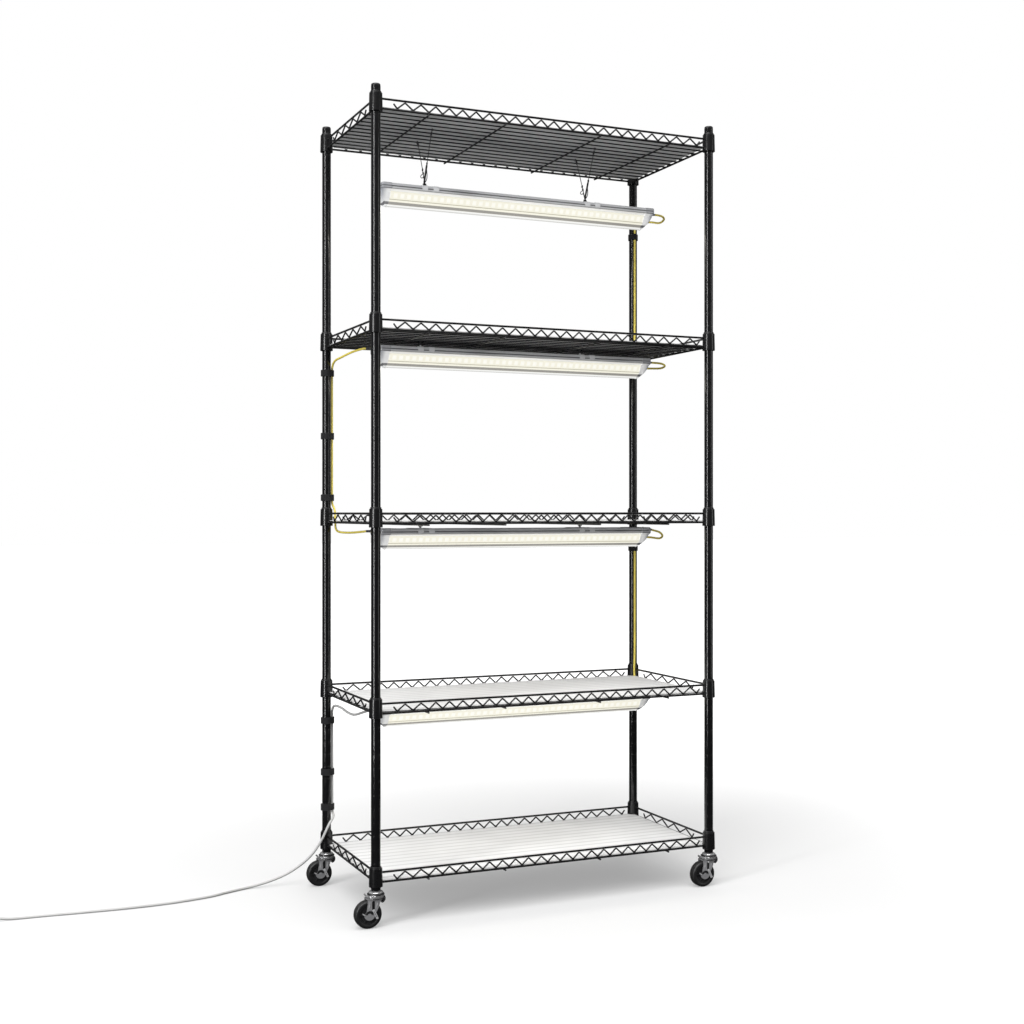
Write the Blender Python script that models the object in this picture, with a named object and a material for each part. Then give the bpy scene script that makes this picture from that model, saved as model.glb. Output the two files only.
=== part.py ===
"""A plant stand with grow lights, in metres: +Z up, the floor at z = 0, the front towards -Y.

Five welded wire shelves sit on four round posts with swivel casters. Four light bars hang
under the upper shelves, linked by cables, and a power cord runs over the floor to its plug.
"""

import math

import bmesh
import bpy
import numpy as np
from mathutils import Matrix, Quaternion, Vector

MM = 0.001

# Fits that several pieces share
TOUCH_GAP = 0.3 * MM  # left between two pieces that touch
WELD_DEPTH = 0.35 * MM  # how far one welded piece sinks into the next
CUT_OVERRUN = 2 * MM
SMOOTH_ANGLE = math.radians(46)
FULL_TURN = 360
HALF_TURN = 180
QUARTER_TURN = 90

# Posts, with their caps, sleeves and caster stems
POST_SPACING_X = 725 * MM
POST_SPACING_Y = 325 * MM
POST_RADIUS = 9 * MM
POST_BOTTOM = 69 * MM
POST_TOP = 1576 * MM
POST_SIDES = 8
CAP_CHAMFER = 2.2 * MM
SLEEVE_LIP = 3 * MM  # shows above each collar
STEM_RADIUS = 4 * MM
STEM_LENGTH = 9 * MM

# Shelves: each height is that of the lower rails' centre
SHELF_HEIGHTS = (1531 * MM, 1118 * MM, 754 * MM, 398 * MM, 83 * MM)
RAIL_RISE = 18.3 * MM
RAIL_DIAMETER = 4.2 * MM
RAIL_WIDTH_SHARE = 0.46  # half width, half height and half flat of the six-sided rail
RAIL_HEIGHT_SHARE = 0.51
RAIL_FLAT_SHARE = 0.33
COLLAR_HEIGHT = 35 * MM
COLLAR_CENTRE_RISE = 10 * MM
COLLAR_TOP_RADIUS = 12.25 * MM
COLLAR_BOTTOM_RADIUS = 13 * MM
COLLAR_WALL = 1.5 * MM
FLAT_WIRE_SHARE = 0.44  # half width of a three-sided wire
DECK_WIRE = 3 * MM
DECK_WIRE_COUNT = 12
DECK_PITCH = 25 * MM
CROSS_WIRE = 3.5 * MM
CROSS_WIRE_PLACES = (-258 * MM, -99 * MM, 108 * MM, 265 * MM)
CROSS_WIRE_POKE = 2 * MM
TRUSS_WIRE = 2.8 * MM
TRUSS_FRONT_ENDS = (42 * MM, 29 * MM)  # from the post's centre to the first and to the last low bend
TRUSS_FRONT_END_PITCH = 32 * MM  # the two gaps at each end, wider than the ones between
TRUSS_FRONT_BEND_COUNT = 24
TRUSS_SIDE_ENDS = (66 * MM, 57 * MM)
TRUSS_SIDE_END_PITCH = 50.5 * MM
TRUSS_SIDE_BEND_COUNT = 5
TRUSS_TAIL_RISE = 8 * MM
TRUSS_TAIL_REACH = 7 * MM
TRUSS_REACH_SHARE = 0.6  # corners of the three-sided snake wire, as a share of its diameter

# Liners
LINER_LENGTH = 700 * MM
LINER_DEPTH = 300 * MM
LINER_THICKNESS = 1 * MM
LINER_CORNER = 8 * MM
LINER_CORNER_POINTS = 2
LINER_SHIFT_Y = -4 * MM

# Light bars: the housing is the channel on top, the diffuser the translucent shell below it
LIGHT_LENGTH = 610 * MM
LIGHT_TOPS = (1423 * MM, 1106 * MM, 742 * MM, 386 * MM)
LIGHT_SHIFTS_X = (-6 * MM, 0.0, 0.0, 0.0)
LIGHT_WIRES = (5, 6, 6, 6)  # how many deck wires lie in front of the one above each light's middle
LIGHT_HALF_WIDTH = 35.5 * MM
LIGHT_TOP_CHAMFER = 2.5 * MM
LIGHT_CHANNEL_DEPTH = 11 * MM
LIGHT_FLANGE_DEPTH = 14.6 * MM
LIGHT_ROOF = 2.5 * MM
LED_CARRIER_HALF_WIDTH = 12 * MM
LED_CARRIER_THICKNESS = 2.5 * MM
DIFFUSER_HALF_WIDTH = 26 * MM
DIFFUSER_BOTTOM = 41.5 * MM
DIFFUSER_WALL = 1.4 * MM
# Half widths and depths of the diffuser's bends, as shares of its half width and its height
DIFFUSER_WIDTH_SHARES = (1.0, 0.865, 0.673, 0.52, 0.27)
DIFFUSER_DEPTH_SHARES = (0.0, 0.27, 0.55, 0.685, 0.87)
END_CAP_PROUD = 0.6 * MM
END_CAP_LIP = 40 * MM
END_CAP_LENGTH = 20 * MM
END_CAP_CURVE = 16 * MM  # how far the end face runs in towards the bottom

# Spring clips with the eye that each hanger holds
CLIP_PLACES_X = (-210 * MM, 151 * MM)
CLIP_LENGTH = 36 * MM
CLIP_LOBE = 12.5 * MM
CLIP_PROUD = 0.9 * MM
CLIP_REACH = 8.5 * MM
CLIP_BRIDGE_HALF_WIDTH = 7 * MM
EYE_RISE = 4.6 * MM  # hanger eye above the housing's top
EYE_RADIUS = 3.6 * MM
EYE_THICKNESS = 1.6 * MM
EYE_SIDES = 6
EYE_PLATE_POINTS = 5
RELIEF_SIDES = 6

# Hangers of bent wire
HANGER_WIRE = 1.2 * MM
HANGER_SIDES = 3
HANGER_ARCH_WIDTH = 10 * MM
HANGER_V_STAGGER = 2.4 * MM  # each strand of a V hanger stands this far beside the eye
HANGER_V_WIRES = 2  # deck wires between the middle and each strand's hook
HANGER_GRIP_DIAMETER = 2.8 * MM
HANGER_GRIP_LENGTH = 36 * MM
HANGER_GRIP_START = 9 * MM
HANGER_GRIP_SIDES = 6

# Casters
WHEEL_RADIUS = 26 * MM
WHEEL_WIDTH = 18 * MM
WHEEL_TREAD_WIDTH = 13 * MM
WHEEL_RIM_RADIUS = 18 * MM
WHEEL_DISH = 1.5 * MM
WHEEL_SIDES = 12
CASTER_TRAIL = 16 * MM
AXLE_RADIUS = 2.6 * MM
AXLE_SIDES = 6
HEAD_RADIUS = 16.5 * MM
HEAD_HEIGHT = 9 * MM
HEAD_NECK_RADIUS = 11 * MM
HEAD_NECK_HEIGHT = 3 * MM
HEAD_SIDES = 8
FORK_WALL = 1.8 * MM
FORK_CLEARANCE = 0.5 * MM
FORK_CROWN = 3 * MM
FORK_FOOT_RADIUS = 6 * MM
FORK_FOOT_POINTS = 4
BRAKE_RADIUS = 13.5 * MM
BRAKE_THICKNESS = 2 * MM
BRAKE_TAB = 4.5 * MM
BRAKE_RIM_ANGLES = (170, 350)
BRAKE_RIM_POINTS = 6
BRAKE_HUB_ANGLES = (40, 100)
BRAKE_HUB_POINTS = 2
BRAKE_TAB_ANGLES = (178, 322)
RUNNING_GAP = 0.35 * MM

# Cables and the straps that hold them to the rear posts
LINK_CABLE = 4.4 * MM
LINK_PLUG_LENGTH = 19 * MM
LINK_PLUG_SCALE = 1.18
LINK_CABLE_TOLERANCE = 0.8 * MM
LIGHT_SOCKET_DROP = 5 * MM  # below the housing's top
STRAP_HEIGHT = 13.5 * MM
STRAP_THICKNESS = 1.7 * MM
STRAP_BACK_POINTS = 5
STRAP_FRONT_POINTS = 2
STRAPS_ON_LINK = (1064 * MM, 933 * MM, 805 * MM)
STRAPS_ON_POWER = (342 * MM, 235 * MM, 162 * MM)
STRAPS_ON_RIGHT = (1403 * MM, 693 * MM)
RIGHT_CABLE_SHIFT_X = -2 * MM

# Power cord, controller and plug
CORD = 5 * MM
CORD_POINT_STEP = 4.2 * CORD
CONTROLLER_LENGTH = 80 * MM
CONTROLLER_WIDTH = 26 * MM
CONTROLLER_HEIGHT = 16 * MM
CONTROLLER_EDGE = 2.4 * MM
CONTROLLER_INSET = 2.6 * MM
CONTROLLER_INSET_DEPTH = 0.6 * MM
CONTROLLER_END_POINTS = 4
RELIEF_LENGTH = 22 * MM
RELIEF_WIDE = 4.6 * MM
RELIEF_NARROW = 3.4 * MM
RELIEF_RIBS = 3
RELIEF_RIB_SHARE = 0.85
BUTTON_RADIUS = 4.5 * MM
BUTTON_PROUD = 0.9 * MM
BUTTON_DEPTH = 3 * MM
BUTTON_SIDES = 8
TIMER_BUTTON_X = -9 * MM  # from the controller's middle
POWER_BUTTON_X = 17 * MM
COIL_MIDDLE_RADIUS = 26.5 * MM
COIL_TURNS_PER_LAYER = 1.5
COIL_CLIMB_TURNS = 0.5  # the stretch of the spiral that climbs to the second layer
COIL_TURN_GAP = 0.55 * MM
COIL_LOOP_POINTS = 24
PLUG_LENGTH = 27 * MM
PLUG_WIDTH = 22 * MM
PLUG_HEIGHT = 17 * MM
PLUG_CORNER_POINTS = 3
PLUG_RELIEF_LENGTH = 22 * MM
PRONG_LENGTH = 17 * MM
PRONG_HEIGHT = 6.3 * MM
PRONG_THICKNESS = 1.5 * MM
PRONG_SPACING = 12.7 * MM
COIL_LEAD = 26 * MM  # straight run between the controller and the coil
COIL_LEAD_SHARES = ((0.5, 0.55), (0.8, 0.95))  # how far along the run, and how far down to the floor
PLUG_LEAD = 30 * MM  # straight run between the coil and the plug

# The casters trail to one side, so the rack is shifted until its box is centred on the origin
RACK_SHIFT_X = (CASTER_TRAIL + WHEEL_RADIUS - HEAD_RADIUS) / 2

HALF_X = POST_SPACING_X / 2
HALF_Y = POST_SPACING_Y / 2
COLLAR_BOTTOM_RISE = COLLAR_CENTRE_RISE - COLLAR_HEIGHT / 2
RAIL_HALF_WIDTH = RAIL_WIDTH_SHARE * RAIL_DIAMETER
RAIL_HALF_HEIGHT = RAIL_HEIGHT_SHARE * RAIL_DIAMETER
RAIL_FLAT_HALF = RAIL_FLAT_SHARE * RAIL_DIAMETER
DECK_HALF = FLAT_WIRE_SHARE * DECK_WIRE
CROSS_HALF = FLAT_WIRE_SHARE * CROSS_WIRE
DIFFUSER_TOP = LIGHT_FLANGE_DEPTH + TOUCH_GAP
COIL_PITCH = CORD + COIL_TURN_GAP
COIL_HALF_TURNS = COIL_TURNS_PER_LAYER + COIL_CLIMB_TURNS / 2
COIL_OUTER_RADIUS = COIL_MIDDLE_RADIUS + COIL_PITCH * COIL_HALF_TURNS / 2
CORD_HEIGHT = CORD / 2
CONTROLLER_MIDDLE = CONTROLLER_HEIGHT / 2

CORNERS = {
    "front_left": (-HALF_X, -HALF_Y),
    "front_right": (HALF_X, -HALF_Y),
    "rear_left": (-HALF_X, HALF_Y),
    "rear_right": (HALF_X, HALF_Y),
}

# Cables beside a light's end, point by point from its socket, by the light's number and side
LEAD_TO_RIGHT_POST = (
    (0.0447, 0.0003, -0.0010),
    (0.0577, 0.0065, -0.0050),
    (0.0597, 0.0275, -0.0080),
)
SOCKET_LEADS = {
    (1, 1): (
        (0.0299, 0.0017, 0.0002),
        (0.0457, 0.0105, 0.0002),
        (0.0607, 0.0305, -0.0012),
        (0.0647, 0.0575, -0.0030),
    ),
    (2, 1): LEAD_TO_RIGHT_POST,
    (2, -1): ((-0.0247, 0.0045, 0.0), (-0.0377, 0.0355, -0.0040)),
    (3, -1): ((-0.0277, 0.0125, -0.0015), (-0.0347, 0.0575, -0.0035)),
    (3, 1): (
        (0.0247, 0.0003, -0.0015),
        (0.0427, 0.0035, -0.0060),
        (0.0557, 0.0135, -0.0140),
        (0.0587, 0.0325, -0.0200),
    ),
    (4, 1): LEAD_TO_RIGHT_POST,
    (4, -1): (
        (-0.0127, 0.0005, -0.0015),
        (-0.0237, 0.0105, -0.0065),
        (-0.0332, 0.0375, -0.0140),
    ),
}
# Their routes along the posts and over the floor, from the middle between the posts
LINK_ROUTE_1_2 = (
    (0.3610, 0.0800, 1.4230),
    (0.3598, 0.1150, 1.4275),
    (0.3602, 0.1350, 1.4290),
    (0.3605, 0.1475, 1.4245),
    (0.3605, 0.1507, 1.4150),
    (0.3605, 0.1507, 1.3900),
    (0.3605, 0.1507, 1.2800),
    (0.3600, 0.1500, 1.2000),
    (0.3580, 0.1475, 1.1600),
    (0.3568, 0.1462, 1.1280),
    (0.3580, 0.1400, 1.1080),
    (0.3600, 0.1150, 1.1000),
    (0.3610, 0.0750, 1.0955),
)
LINK_ROUTE_2_3 = (
    (-0.3520, 0.0950, 1.0905),
    (-0.3530, 0.1280, 1.0880),
    (-0.3515, 0.1510, 1.0830),
    (-0.3507, 0.1615, 1.0740),
    (-0.3507, 0.1625, 1.0640),
    (-0.3507, 0.1625, 1.0200),
    (-0.3507, 0.1625, 0.9330),
    (-0.3507, 0.1625, 0.8300),
    (-0.3507, 0.1625, 0.7980),
    (-0.3496, 0.1616, 0.7900),
    (-0.3468, 0.1590, 0.7825),
    (-0.3457, 0.1570, 0.7720),
    (-0.3457, 0.1555, 0.7550),
    (-0.3460, 0.1500, 0.7400),
    (-0.3450, 0.1250, 0.7340),
)
LINK_ROUTE_3_4 = (
    (0.3605, 0.0750, 0.7185),
    (0.3595, 0.1100, 0.7190),
    (0.3602, 0.1350, 0.7190),
    (0.3605, 0.1475, 0.7145),
    (0.3605, 0.1507, 0.7050),
    (0.3605, 0.1507, 0.6800),
    (0.3605, 0.1507, 0.5600),
    (0.3600, 0.1500, 0.4800),
    (0.3580, 0.1475, 0.4400),
    (0.3568, 0.1462, 0.4080),
    (0.3580, 0.1400, 0.3880),
    (0.3600, 0.1150, 0.3800),
    (0.3610, 0.0750, 0.3755),
)
POWER_ROUTE = (
    (-0.3440, 0.0780, 0.3690),
    (-0.3480, 0.1050, 0.3745),
    (-0.3503, 0.1350, 0.3750),
    (-0.3504, 0.1540, 0.3710),
    (-0.3504, 0.1618, 0.3620),
    (-0.3504, 0.1625, 0.3530),
    (-0.3504, 0.1625, 0.2950),
    (-0.3504, 0.1625, 0.2350),
    (-0.3504, 0.1625, 0.1850),
    (-0.3504, 0.1625, 0.1550),
    (-0.3497, 0.1545, 0.1450),
    (-0.3540, 0.1482, 0.1390),
    (-0.3612, 0.1460, 0.1305),
    (-0.3674, 0.1450, 0.1190),
    (-0.3748, 0.1465, 0.1032),
    (-0.3838, 0.1520, 0.0842),
    (-0.3944, 0.1610, 0.0660),
    (-0.4082, 0.1710, 0.0495),
    (-0.4263, 0.1820, 0.0335),
    (-0.4443, 0.1890, 0.0225),
    (-0.4697, 0.1945, 0.0125),
    (-0.4988, 0.1955, 0.0060),
    (-0.5263, 0.1930, 0.0028),
    (-0.5700, 0.1760, 0.0025),
    (-0.6074, 0.1600, 0.0025),
    (-0.6790, 0.1467, 0.0025),
    (-0.7579, 0.1434, 0.0025),
    (-0.8400, 0.1480, 0.0025),
    (-0.9200, 0.1550, 0.0025),
    (-0.9750, 0.1580, 0.0027),
    (-1.0000, 0.1580, 0.0055),
    (-1.0130, 0.1580, 0.0080),
)
CONTROLLER_END = (-1.0200, 0.1580)  # where the cord enters the controller's relief


def clear_scene():
    for obj in list(bpy.data.objects):
        bpy.data.objects.remove(obj, do_unlink=True)


def finish(name, colour, roughness, metallic=0.0, transmission=0.0):
    """A plain Principled material."""
    material = bpy.data.materials.new(name)
    material.use_nodes = True
    shader = material.node_tree.nodes["Principled BSDF"]
    shader.inputs["Base Color"].default_value = (*colour, 1.0)
    shader.inputs["Roughness"].default_value = roughness
    shader.inputs["Metallic"].default_value = metallic
    shader.inputs["Transmission Weight"].default_value = transmission
    material.diffuse_color = (*colour, 1.0)
    return material


def mesh_of(name, shape):
    """The mesh of a bmesh, faces out and smooth between nearly level faces."""
    bmesh.ops.recalc_face_normals(shape, faces=shape.faces)
    mesh = bpy.data.meshes.new(name)
    shape.to_mesh(mesh)
    shape.free()
    return smoothed(mesh)


def smoothed(mesh):
    mesh.shade_smooth()
    mesh.set_sharp_from_angle(angle=SMOOTH_ANGLE)
    return mesh


def place(name, data, material, parent, location=(0, 0, 0)):
    """One sub-part as its own object."""
    if not data.materials:
        data.materials.append(material)
    obj = bpy.data.objects.new(name, data)
    obj.location = location
    obj.parent = parent
    bpy.context.collection.objects.link(obj)
    return obj


def empty(name, location, parent=None):
    obj = bpy.data.objects.new(name, None)
    obj.empty_display_size = POST_RADIUS
    obj.location = location
    obj.parent = parent
    bpy.context.collection.objects.link(obj)
    return obj


def combined(name, base, others, operation="UNION"):
    """One mesh from a base mesh and the meshes that are welded to it or cut from it."""
    body = bpy.data.objects.new(name, base)
    bpy.context.collection.objects.link(body)
    helpers = []
    for number, other in enumerate(others):
        helper = bpy.data.objects.new(f"{name}_helper_{number}", other)
        bpy.context.collection.objects.link(helper)
        helpers.append(helper)
        step = body.modifiers.new(f"step_{number}", "BOOLEAN")
        step.operation = operation
        step.solver = "EXACT"
        step.object = helper
    graph = bpy.context.evaluated_depsgraph_get()
    result = bpy.data.meshes.new_from_object(body.evaluated_get(graph))
    result.name = name
    for obj in [body, *helpers]:
        bpy.data.objects.remove(obj, do_unlink=True)
    return smoothed(result)


def turned(shape, profile, sides, bored=False, centre=(0, 0)):
    """Revolves (radius, height) points round +Z. Radii are to the flats, which face the axes."""
    reach = 1 / math.cos(math.pi / sides)
    rings = []
    for radius, height in profile:
        ring = []
        for number in range(sides):
            angle = 2 * math.pi * (number + 0.5) / sides
            x = centre[0] + radius * reach * math.cos(angle)
            y = centre[1] + radius * reach * math.sin(angle)
            ring.append(shape.verts.new((x, y, height)))
        rings.append(ring)
    pairs = list(zip(rings, rings[1:]))
    if bored:
        pairs.append((rings[-1], rings[0]))
    for upper, lower in pairs:
        bridge(shape, upper, lower)
    if not bored:
        shape.faces.new(rings[0])
        shape.faces.new(rings[-1])


def bridge(shape, first, second):
    """Side faces between two rings of as many points."""
    for number, corner in enumerate(first):
        following = (number + 1) % len(first)
        shape.faces.new((corner, first[following], second[following], second[number]))


def prism(shape, outline, axis, start, end, holes=()):
    """Extrudes an outline along X, Y or Z. The outline's two numbers are the other two axes."""
    ends = []
    for station in (start, end):
        ends.append([shape.verts.new(on_axis(axis, station, point)) for point in outline])
    bridge(shape, *ends)
    if not holes:
        for ring in ends:
            shape.faces.new(ring)
        return
    loops = []
    for hole in holes:
        pair = []
        for station in (start, end):
            pair.append([shape.verts.new(on_axis(axis, station, point)) for point in hole])
        bridge(shape, *pair)
        loops.append(pair)
    for side in (0, 1):
        edges = []
        for ring in [ends[side], *(pair[side] for pair in loops)]:
            for number, corner in enumerate(ring):
                edges.append(shape.edges.get((corner, ring[(number + 1) % len(ring)])))
        bmesh.ops.triangle_fill(shape, edges=edges, use_beauty=True)


def on_axis(axis, station, point):
    a, b = point
    return {"X": (station, a, b), "Y": (a, station, b), "Z": (a, b, station)}[axis]


def mirrored(half):
    """A whole outline from its right half."""
    return [*half, *((-a, b) for a, b in reversed(half) if a)]


def arc(centre, radius, start, end, count):
    """Points along an arc, angles in degrees."""
    points = []
    for number in range(count):
        angle = math.radians(start + (end - start) * number / (count - 1))
        points.append((centre[0] + radius * math.cos(angle), centre[1] + radius * math.sin(angle)))
    return points


def regular(centre, radius, sides):
    """A regular outline, by the radius of its corners."""
    return arc(centre, radius, 0, FULL_TURN * (sides - 1) / sides, sides)


def rounded_plate(length, width, corner, count):
    """Outline with rounded ends or corners in (x, y)."""
    half_x = length / 2 - corner
    half_y = width / 2 - corner
    outline = []
    centres = ((half_x, half_y), (-half_x, half_y), (-half_x, -half_y), (half_x, -half_y))
    for quarter, centre in enumerate(centres):
        start = quarter * QUARTER_TURN
        outline += arc(centre, corner, start, start + QUARTER_TURN, count)
    return outline


def box(shape, low, high):
    outline = [(low[0], low[1]), (high[0], low[1]), (high[0], high[1]), (low[0], high[1])]
    prism(shape, outline, "Z", low[2], high[2])


def bent_wire(shape, points, radius, sides, up):
    """A wire through the points, mitred at each bend. Its first corner faces up."""
    points = [Vector(point) for point in points]
    runs = [(b - a).normalized() for a, b in zip(points, points[1:])]
    normal = Vector(up)
    normal = (normal - normal.dot(runs[0]) * runs[0]).normalized()
    rings = []
    for number, point in enumerate(points):
        run = runs[max(number - 1, 0)]
        if number > 1:
            normal = runs[number - 2].rotation_difference(run) @ normal
        following = runs[min(number, len(runs) - 1)]
        mitre = (run + following).normalized()
        ring = []
        for side in range(sides):
            offset = Quaternion(run, 2 * math.pi * side / sides) @ normal * radius
            offset -= run * (offset.dot(mitre) / run.dot(mitre))
            ring.append(shape.verts.new(point + offset))
        rings.append(ring)
    for first, second in zip(rings, rings[1:]):
        bridge(shape, first, second)
    shape.faces.new(rings[0])
    shape.faces.new(rings[-1])


def smooth_path(points, step):
    """Points a step apart on one smooth curve through the route's own points."""
    knots = np.array(points)
    before = 2 * knots[:1] - knots[1:2]
    after = 2 * knots[-1:] - knots[-2:-1]
    knots = np.concatenate([before, knots, after])
    fine = []
    share = np.linspace(0, 1, 24, endpoint=False)[:, None]
    for a, b, c, d in zip(knots, knots[1:], knots[2:], knots[3:]):
        linear = (c - a) * share
        square = (2 * a - 5 * b + 4 * c - d) * share**2
        cubic = (3 * b - a - 3 * c + d) * share**3
        fine.append(b + (linear + square + cubic) / 2)
    fine.append(knots[-2:-1])
    fine = np.concatenate(fine)
    along = np.concatenate([[0.0], np.cumsum(np.linalg.norm(np.diff(fine, axis=0), axis=1))])
    count = max(2, round(along[-1] / step) + 1)
    even = np.linspace(0, along[-1], count)
    return np.stack([np.interp(even, along, fine[:, k]) for k in range(3)], axis=1)


def thinned(points, tolerance):
    """Drops points that lie this close to a straight line between the ones kept."""
    kept = [0]
    for number in range(2, len(points)):
        start = points[kept[-1]]
        run = points[number] - start
        run = run / np.linalg.norm(run)
        between = points[kept[-1] + 1:number] - start
        off = between - np.outer(between @ run, run)
        if np.linalg.norm(off, axis=1).max() > tolerance:
            kept.append(number - 1)
    return points[[*kept, len(points) - 1]]


def cable(name, points, diameter, resolution, material, parent, scales=None):
    """A round tube along the points, as a curve with a bevel and filled ends."""
    curve = bpy.data.curves.new(name, "CURVE")
    curve.dimensions = "3D"
    curve.bevel_depth = diameter / 2
    curve.bevel_resolution = resolution
    curve.use_fill_caps = True
    spline = curve.splines.new("POLY")
    spline.points.add(len(points) - 1)
    spline.points.foreach_set("co", np.c_[points, np.ones(len(points))].ravel())
    if scales is not None:
        spline.points.foreach_set("radius", scales)
    spline.use_smooth = True
    return place(name, curve, material, parent)


def length_of(points):
    return float(np.linalg.norm(np.diff(points, axis=0), axis=1).sum())


# The posts

def collar_radius(rise):
    """Outer radius of a collar at a height above its shelf's lower rails."""
    share = (rise - COLLAR_BOTTOM_RISE) / COLLAR_HEIGHT
    return COLLAR_BOTTOM_RADIUS + (COLLAR_TOP_RADIUS - COLLAR_BOTTOM_RADIUS) * share


def sleeve_radius(rise):
    return collar_radius(rise) - COLLAR_WALL - TOUCH_GAP


def post_mesh():
    """A tube with its cap, the tapered sleeves that carry the collars, and the caster's stem."""
    profile = [(POST_RADIUS - CAP_CHAMFER, POST_TOP), (POST_RADIUS, POST_TOP - CAP_CHAMFER)]
    top_rise = COLLAR_BOTTOM_RISE + COLLAR_HEIGHT + SLEEVE_LIP
    for height in SHELF_HEIGHTS:
        profile += [
            (POST_RADIUS, height + top_rise),
            (sleeve_radius(top_rise), height + top_rise),
            (sleeve_radius(COLLAR_BOTTOM_RISE), height + COLLAR_BOTTOM_RISE),
            (POST_RADIUS, height + COLLAR_BOTTOM_RISE),
        ]
    profile += [
        (POST_RADIUS, POST_BOTTOM),
        (STEM_RADIUS, POST_BOTTOM),
        (STEM_RADIUS, POST_BOTTOM - STEM_LENGTH),
    ]
    shape = bmesh.new()
    turned(shape, profile, POST_SIDES)
    return mesh_of("post", shape)


# The welded wire shelf

def rail_section():
    """A six-sided rail with upright sides, which the deck wires run square into."""
    return [
        (0, RAIL_HALF_HEIGHT),
        (RAIL_HALF_WIDTH, RAIL_FLAT_HALF),
        (RAIL_HALF_WIDTH, -RAIL_FLAT_HALF),
        (0, -RAIL_HALF_HEIGHT),
        (-RAIL_HALF_WIDTH, -RAIL_FLAT_HALF),
        (-RAIL_HALF_WIDTH, RAIL_FLAT_HALF),
    ]


def moved(outline, a, b):
    return [(a + x, b + y) for x, y in outline]


def wire_section(half, a, b):
    """A three-sided wire with its flat on top."""
    return [(a - half, b + half), (a, b - half), (a + half, b + half)]


def rails():
    shape = bmesh.new()
    for rise in (0, RAIL_RISE):
        wall_middle = collar_radius(rise) - COLLAR_WALL / 2
        for side in (-1, 1):
            end_x = HALF_X - wall_middle
            end_y = HALF_Y - wall_middle
            prism(shape, moved(rail_section(), side * HALF_Y, rise), "X", -end_x, end_x)
            prism(shape, moved(rail_section(), side * HALF_X, rise), "Y", -end_y, end_y)
    return mesh_of("rails", shape)


def collars():
    shape = bmesh.new()
    top = COLLAR_BOTTOM_RISE + COLLAR_HEIGHT
    profile = [
        (COLLAR_TOP_RADIUS, top),
        (COLLAR_BOTTOM_RADIUS, COLLAR_BOTTOM_RISE),
        (COLLAR_BOTTOM_RADIUS - COLLAR_WALL, COLLAR_BOTTOM_RISE),
        (COLLAR_TOP_RADIUS - COLLAR_WALL, top),
    ]
    for centre in CORNERS.values():
        turned(shape, profile, POST_SIDES, bored=True, centre=centre)
    return mesh_of("collars", shape)


def low_bends(half_spacing, ends, end_pitch, count):
    """Places of a snake wire's low bends between two posts."""
    first = ends[0] - half_spacing
    last = half_spacing - ends[1]
    inner = np.linspace(first + 2 * end_pitch, last - 2 * end_pitch, count - 4)
    return [first, first + end_pitch, *inner, last - end_pitch, last]


def truss_bends(lows):
    """(place, rise) of all bends, with a free tail at each end. The first and last are welded down."""
    touch = RAIL_HALF_HEIGHT + TRUSS_WIRE * TRUSS_REACH_SHARE
    low_rise = touch + TOUCH_GAP
    high_rise = RAIL_RISE - touch - TOUCH_GAP
    bends = [(lows[0], touch - WELD_DEPTH)]
    for low, following in zip(lows, lows[1:]):
        bends += [((low + following) / 2, high_rise), (following, low_rise)]
    bends[-1] = (lows[-1], touch - WELD_DEPTH)
    tail_rise = low_rise + TRUSS_TAIL_RISE
    return [(lows[0] - TRUSS_TAIL_REACH, tail_rise), *bends, (lows[-1] + TRUSS_TAIL_REACH, tail_rise)]


def trusses():
    """The four snake wires, three-sided, in the planes of the rails."""
    shape = bmesh.new()
    reach = TRUSS_WIRE * TRUSS_REACH_SHARE
    front = low_bends(HALF_X, TRUSS_FRONT_ENDS, TRUSS_FRONT_END_PITCH, TRUSS_FRONT_BEND_COUNT)
    side = low_bends(HALF_Y, TRUSS_SIDE_ENDS, TRUSS_SIDE_END_PITCH, TRUSS_SIDE_BEND_COUNT)
    for axis, lows, away in (("X", front, HALF_Y), ("Y", side, HALF_X)):
        for plane in (-away, away):
            inner = plane - reach / 2
            rings = []
            for station, rise in truss_bends(lows):
                corners = ((plane + reach, rise), (inner, rise + reach), (inner, rise - reach))
                rings.append([shape.verts.new(on_axis(axis, station, corner)) for corner in corners])
            for first, second in zip(rings, rings[1:]):
                bridge(shape, first, second)
            shape.faces.new(rings[0])
            shape.faces.new(rings[-1])
    return mesh_of("trusses", shape)


def deck_place(number):
    return (number - (DECK_WIRE_COUNT - 1) / 2) * DECK_PITCH


def deck_wires():
    shape = bmesh.new()
    end = HALF_X - RAIL_HALF_WIDTH + WELD_DEPTH
    for number in range(DECK_WIRE_COUNT):
        prism(shape, wire_section(DECK_HALF, deck_place(number), 0), "X", -end, end)
    return mesh_of("deck_wires", shape)


def cross_wires():
    """They run under the deck wires and are welded under the front and rear rails."""
    shape = bmesh.new()
    end = HALF_Y + RAIL_HALF_WIDTH + CROSS_WIRE_POKE
    rise = -RAIL_HALF_HEIGHT - CROSS_HALF + WELD_DEPTH / 2
    for place_along in CROSS_WIRE_PLACES:
        prism(shape, wire_section(CROSS_HALF, place_along, rise), "Y", -end, end)
    return mesh_of("cross_wires", shape)


def shelf_mesh():
    return combined("shelf", rails(), [collars(), trusses(), deck_wires(), cross_wires()])


def liner_mesh():
    outline = rounded_plate(LINER_LENGTH, LINER_DEPTH, LINER_CORNER, LINER_CORNER_POINTS)
    shape = bmesh.new()
    prism(shape, outline, "Z", 0, LINER_THICKNESS)
    return mesh_of("liner", shape)


# The light bars. Their meshes have the hanger eye, the axis they rock about, at z = 0

def light_height(depth):
    return -EYE_RISE - depth


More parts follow.
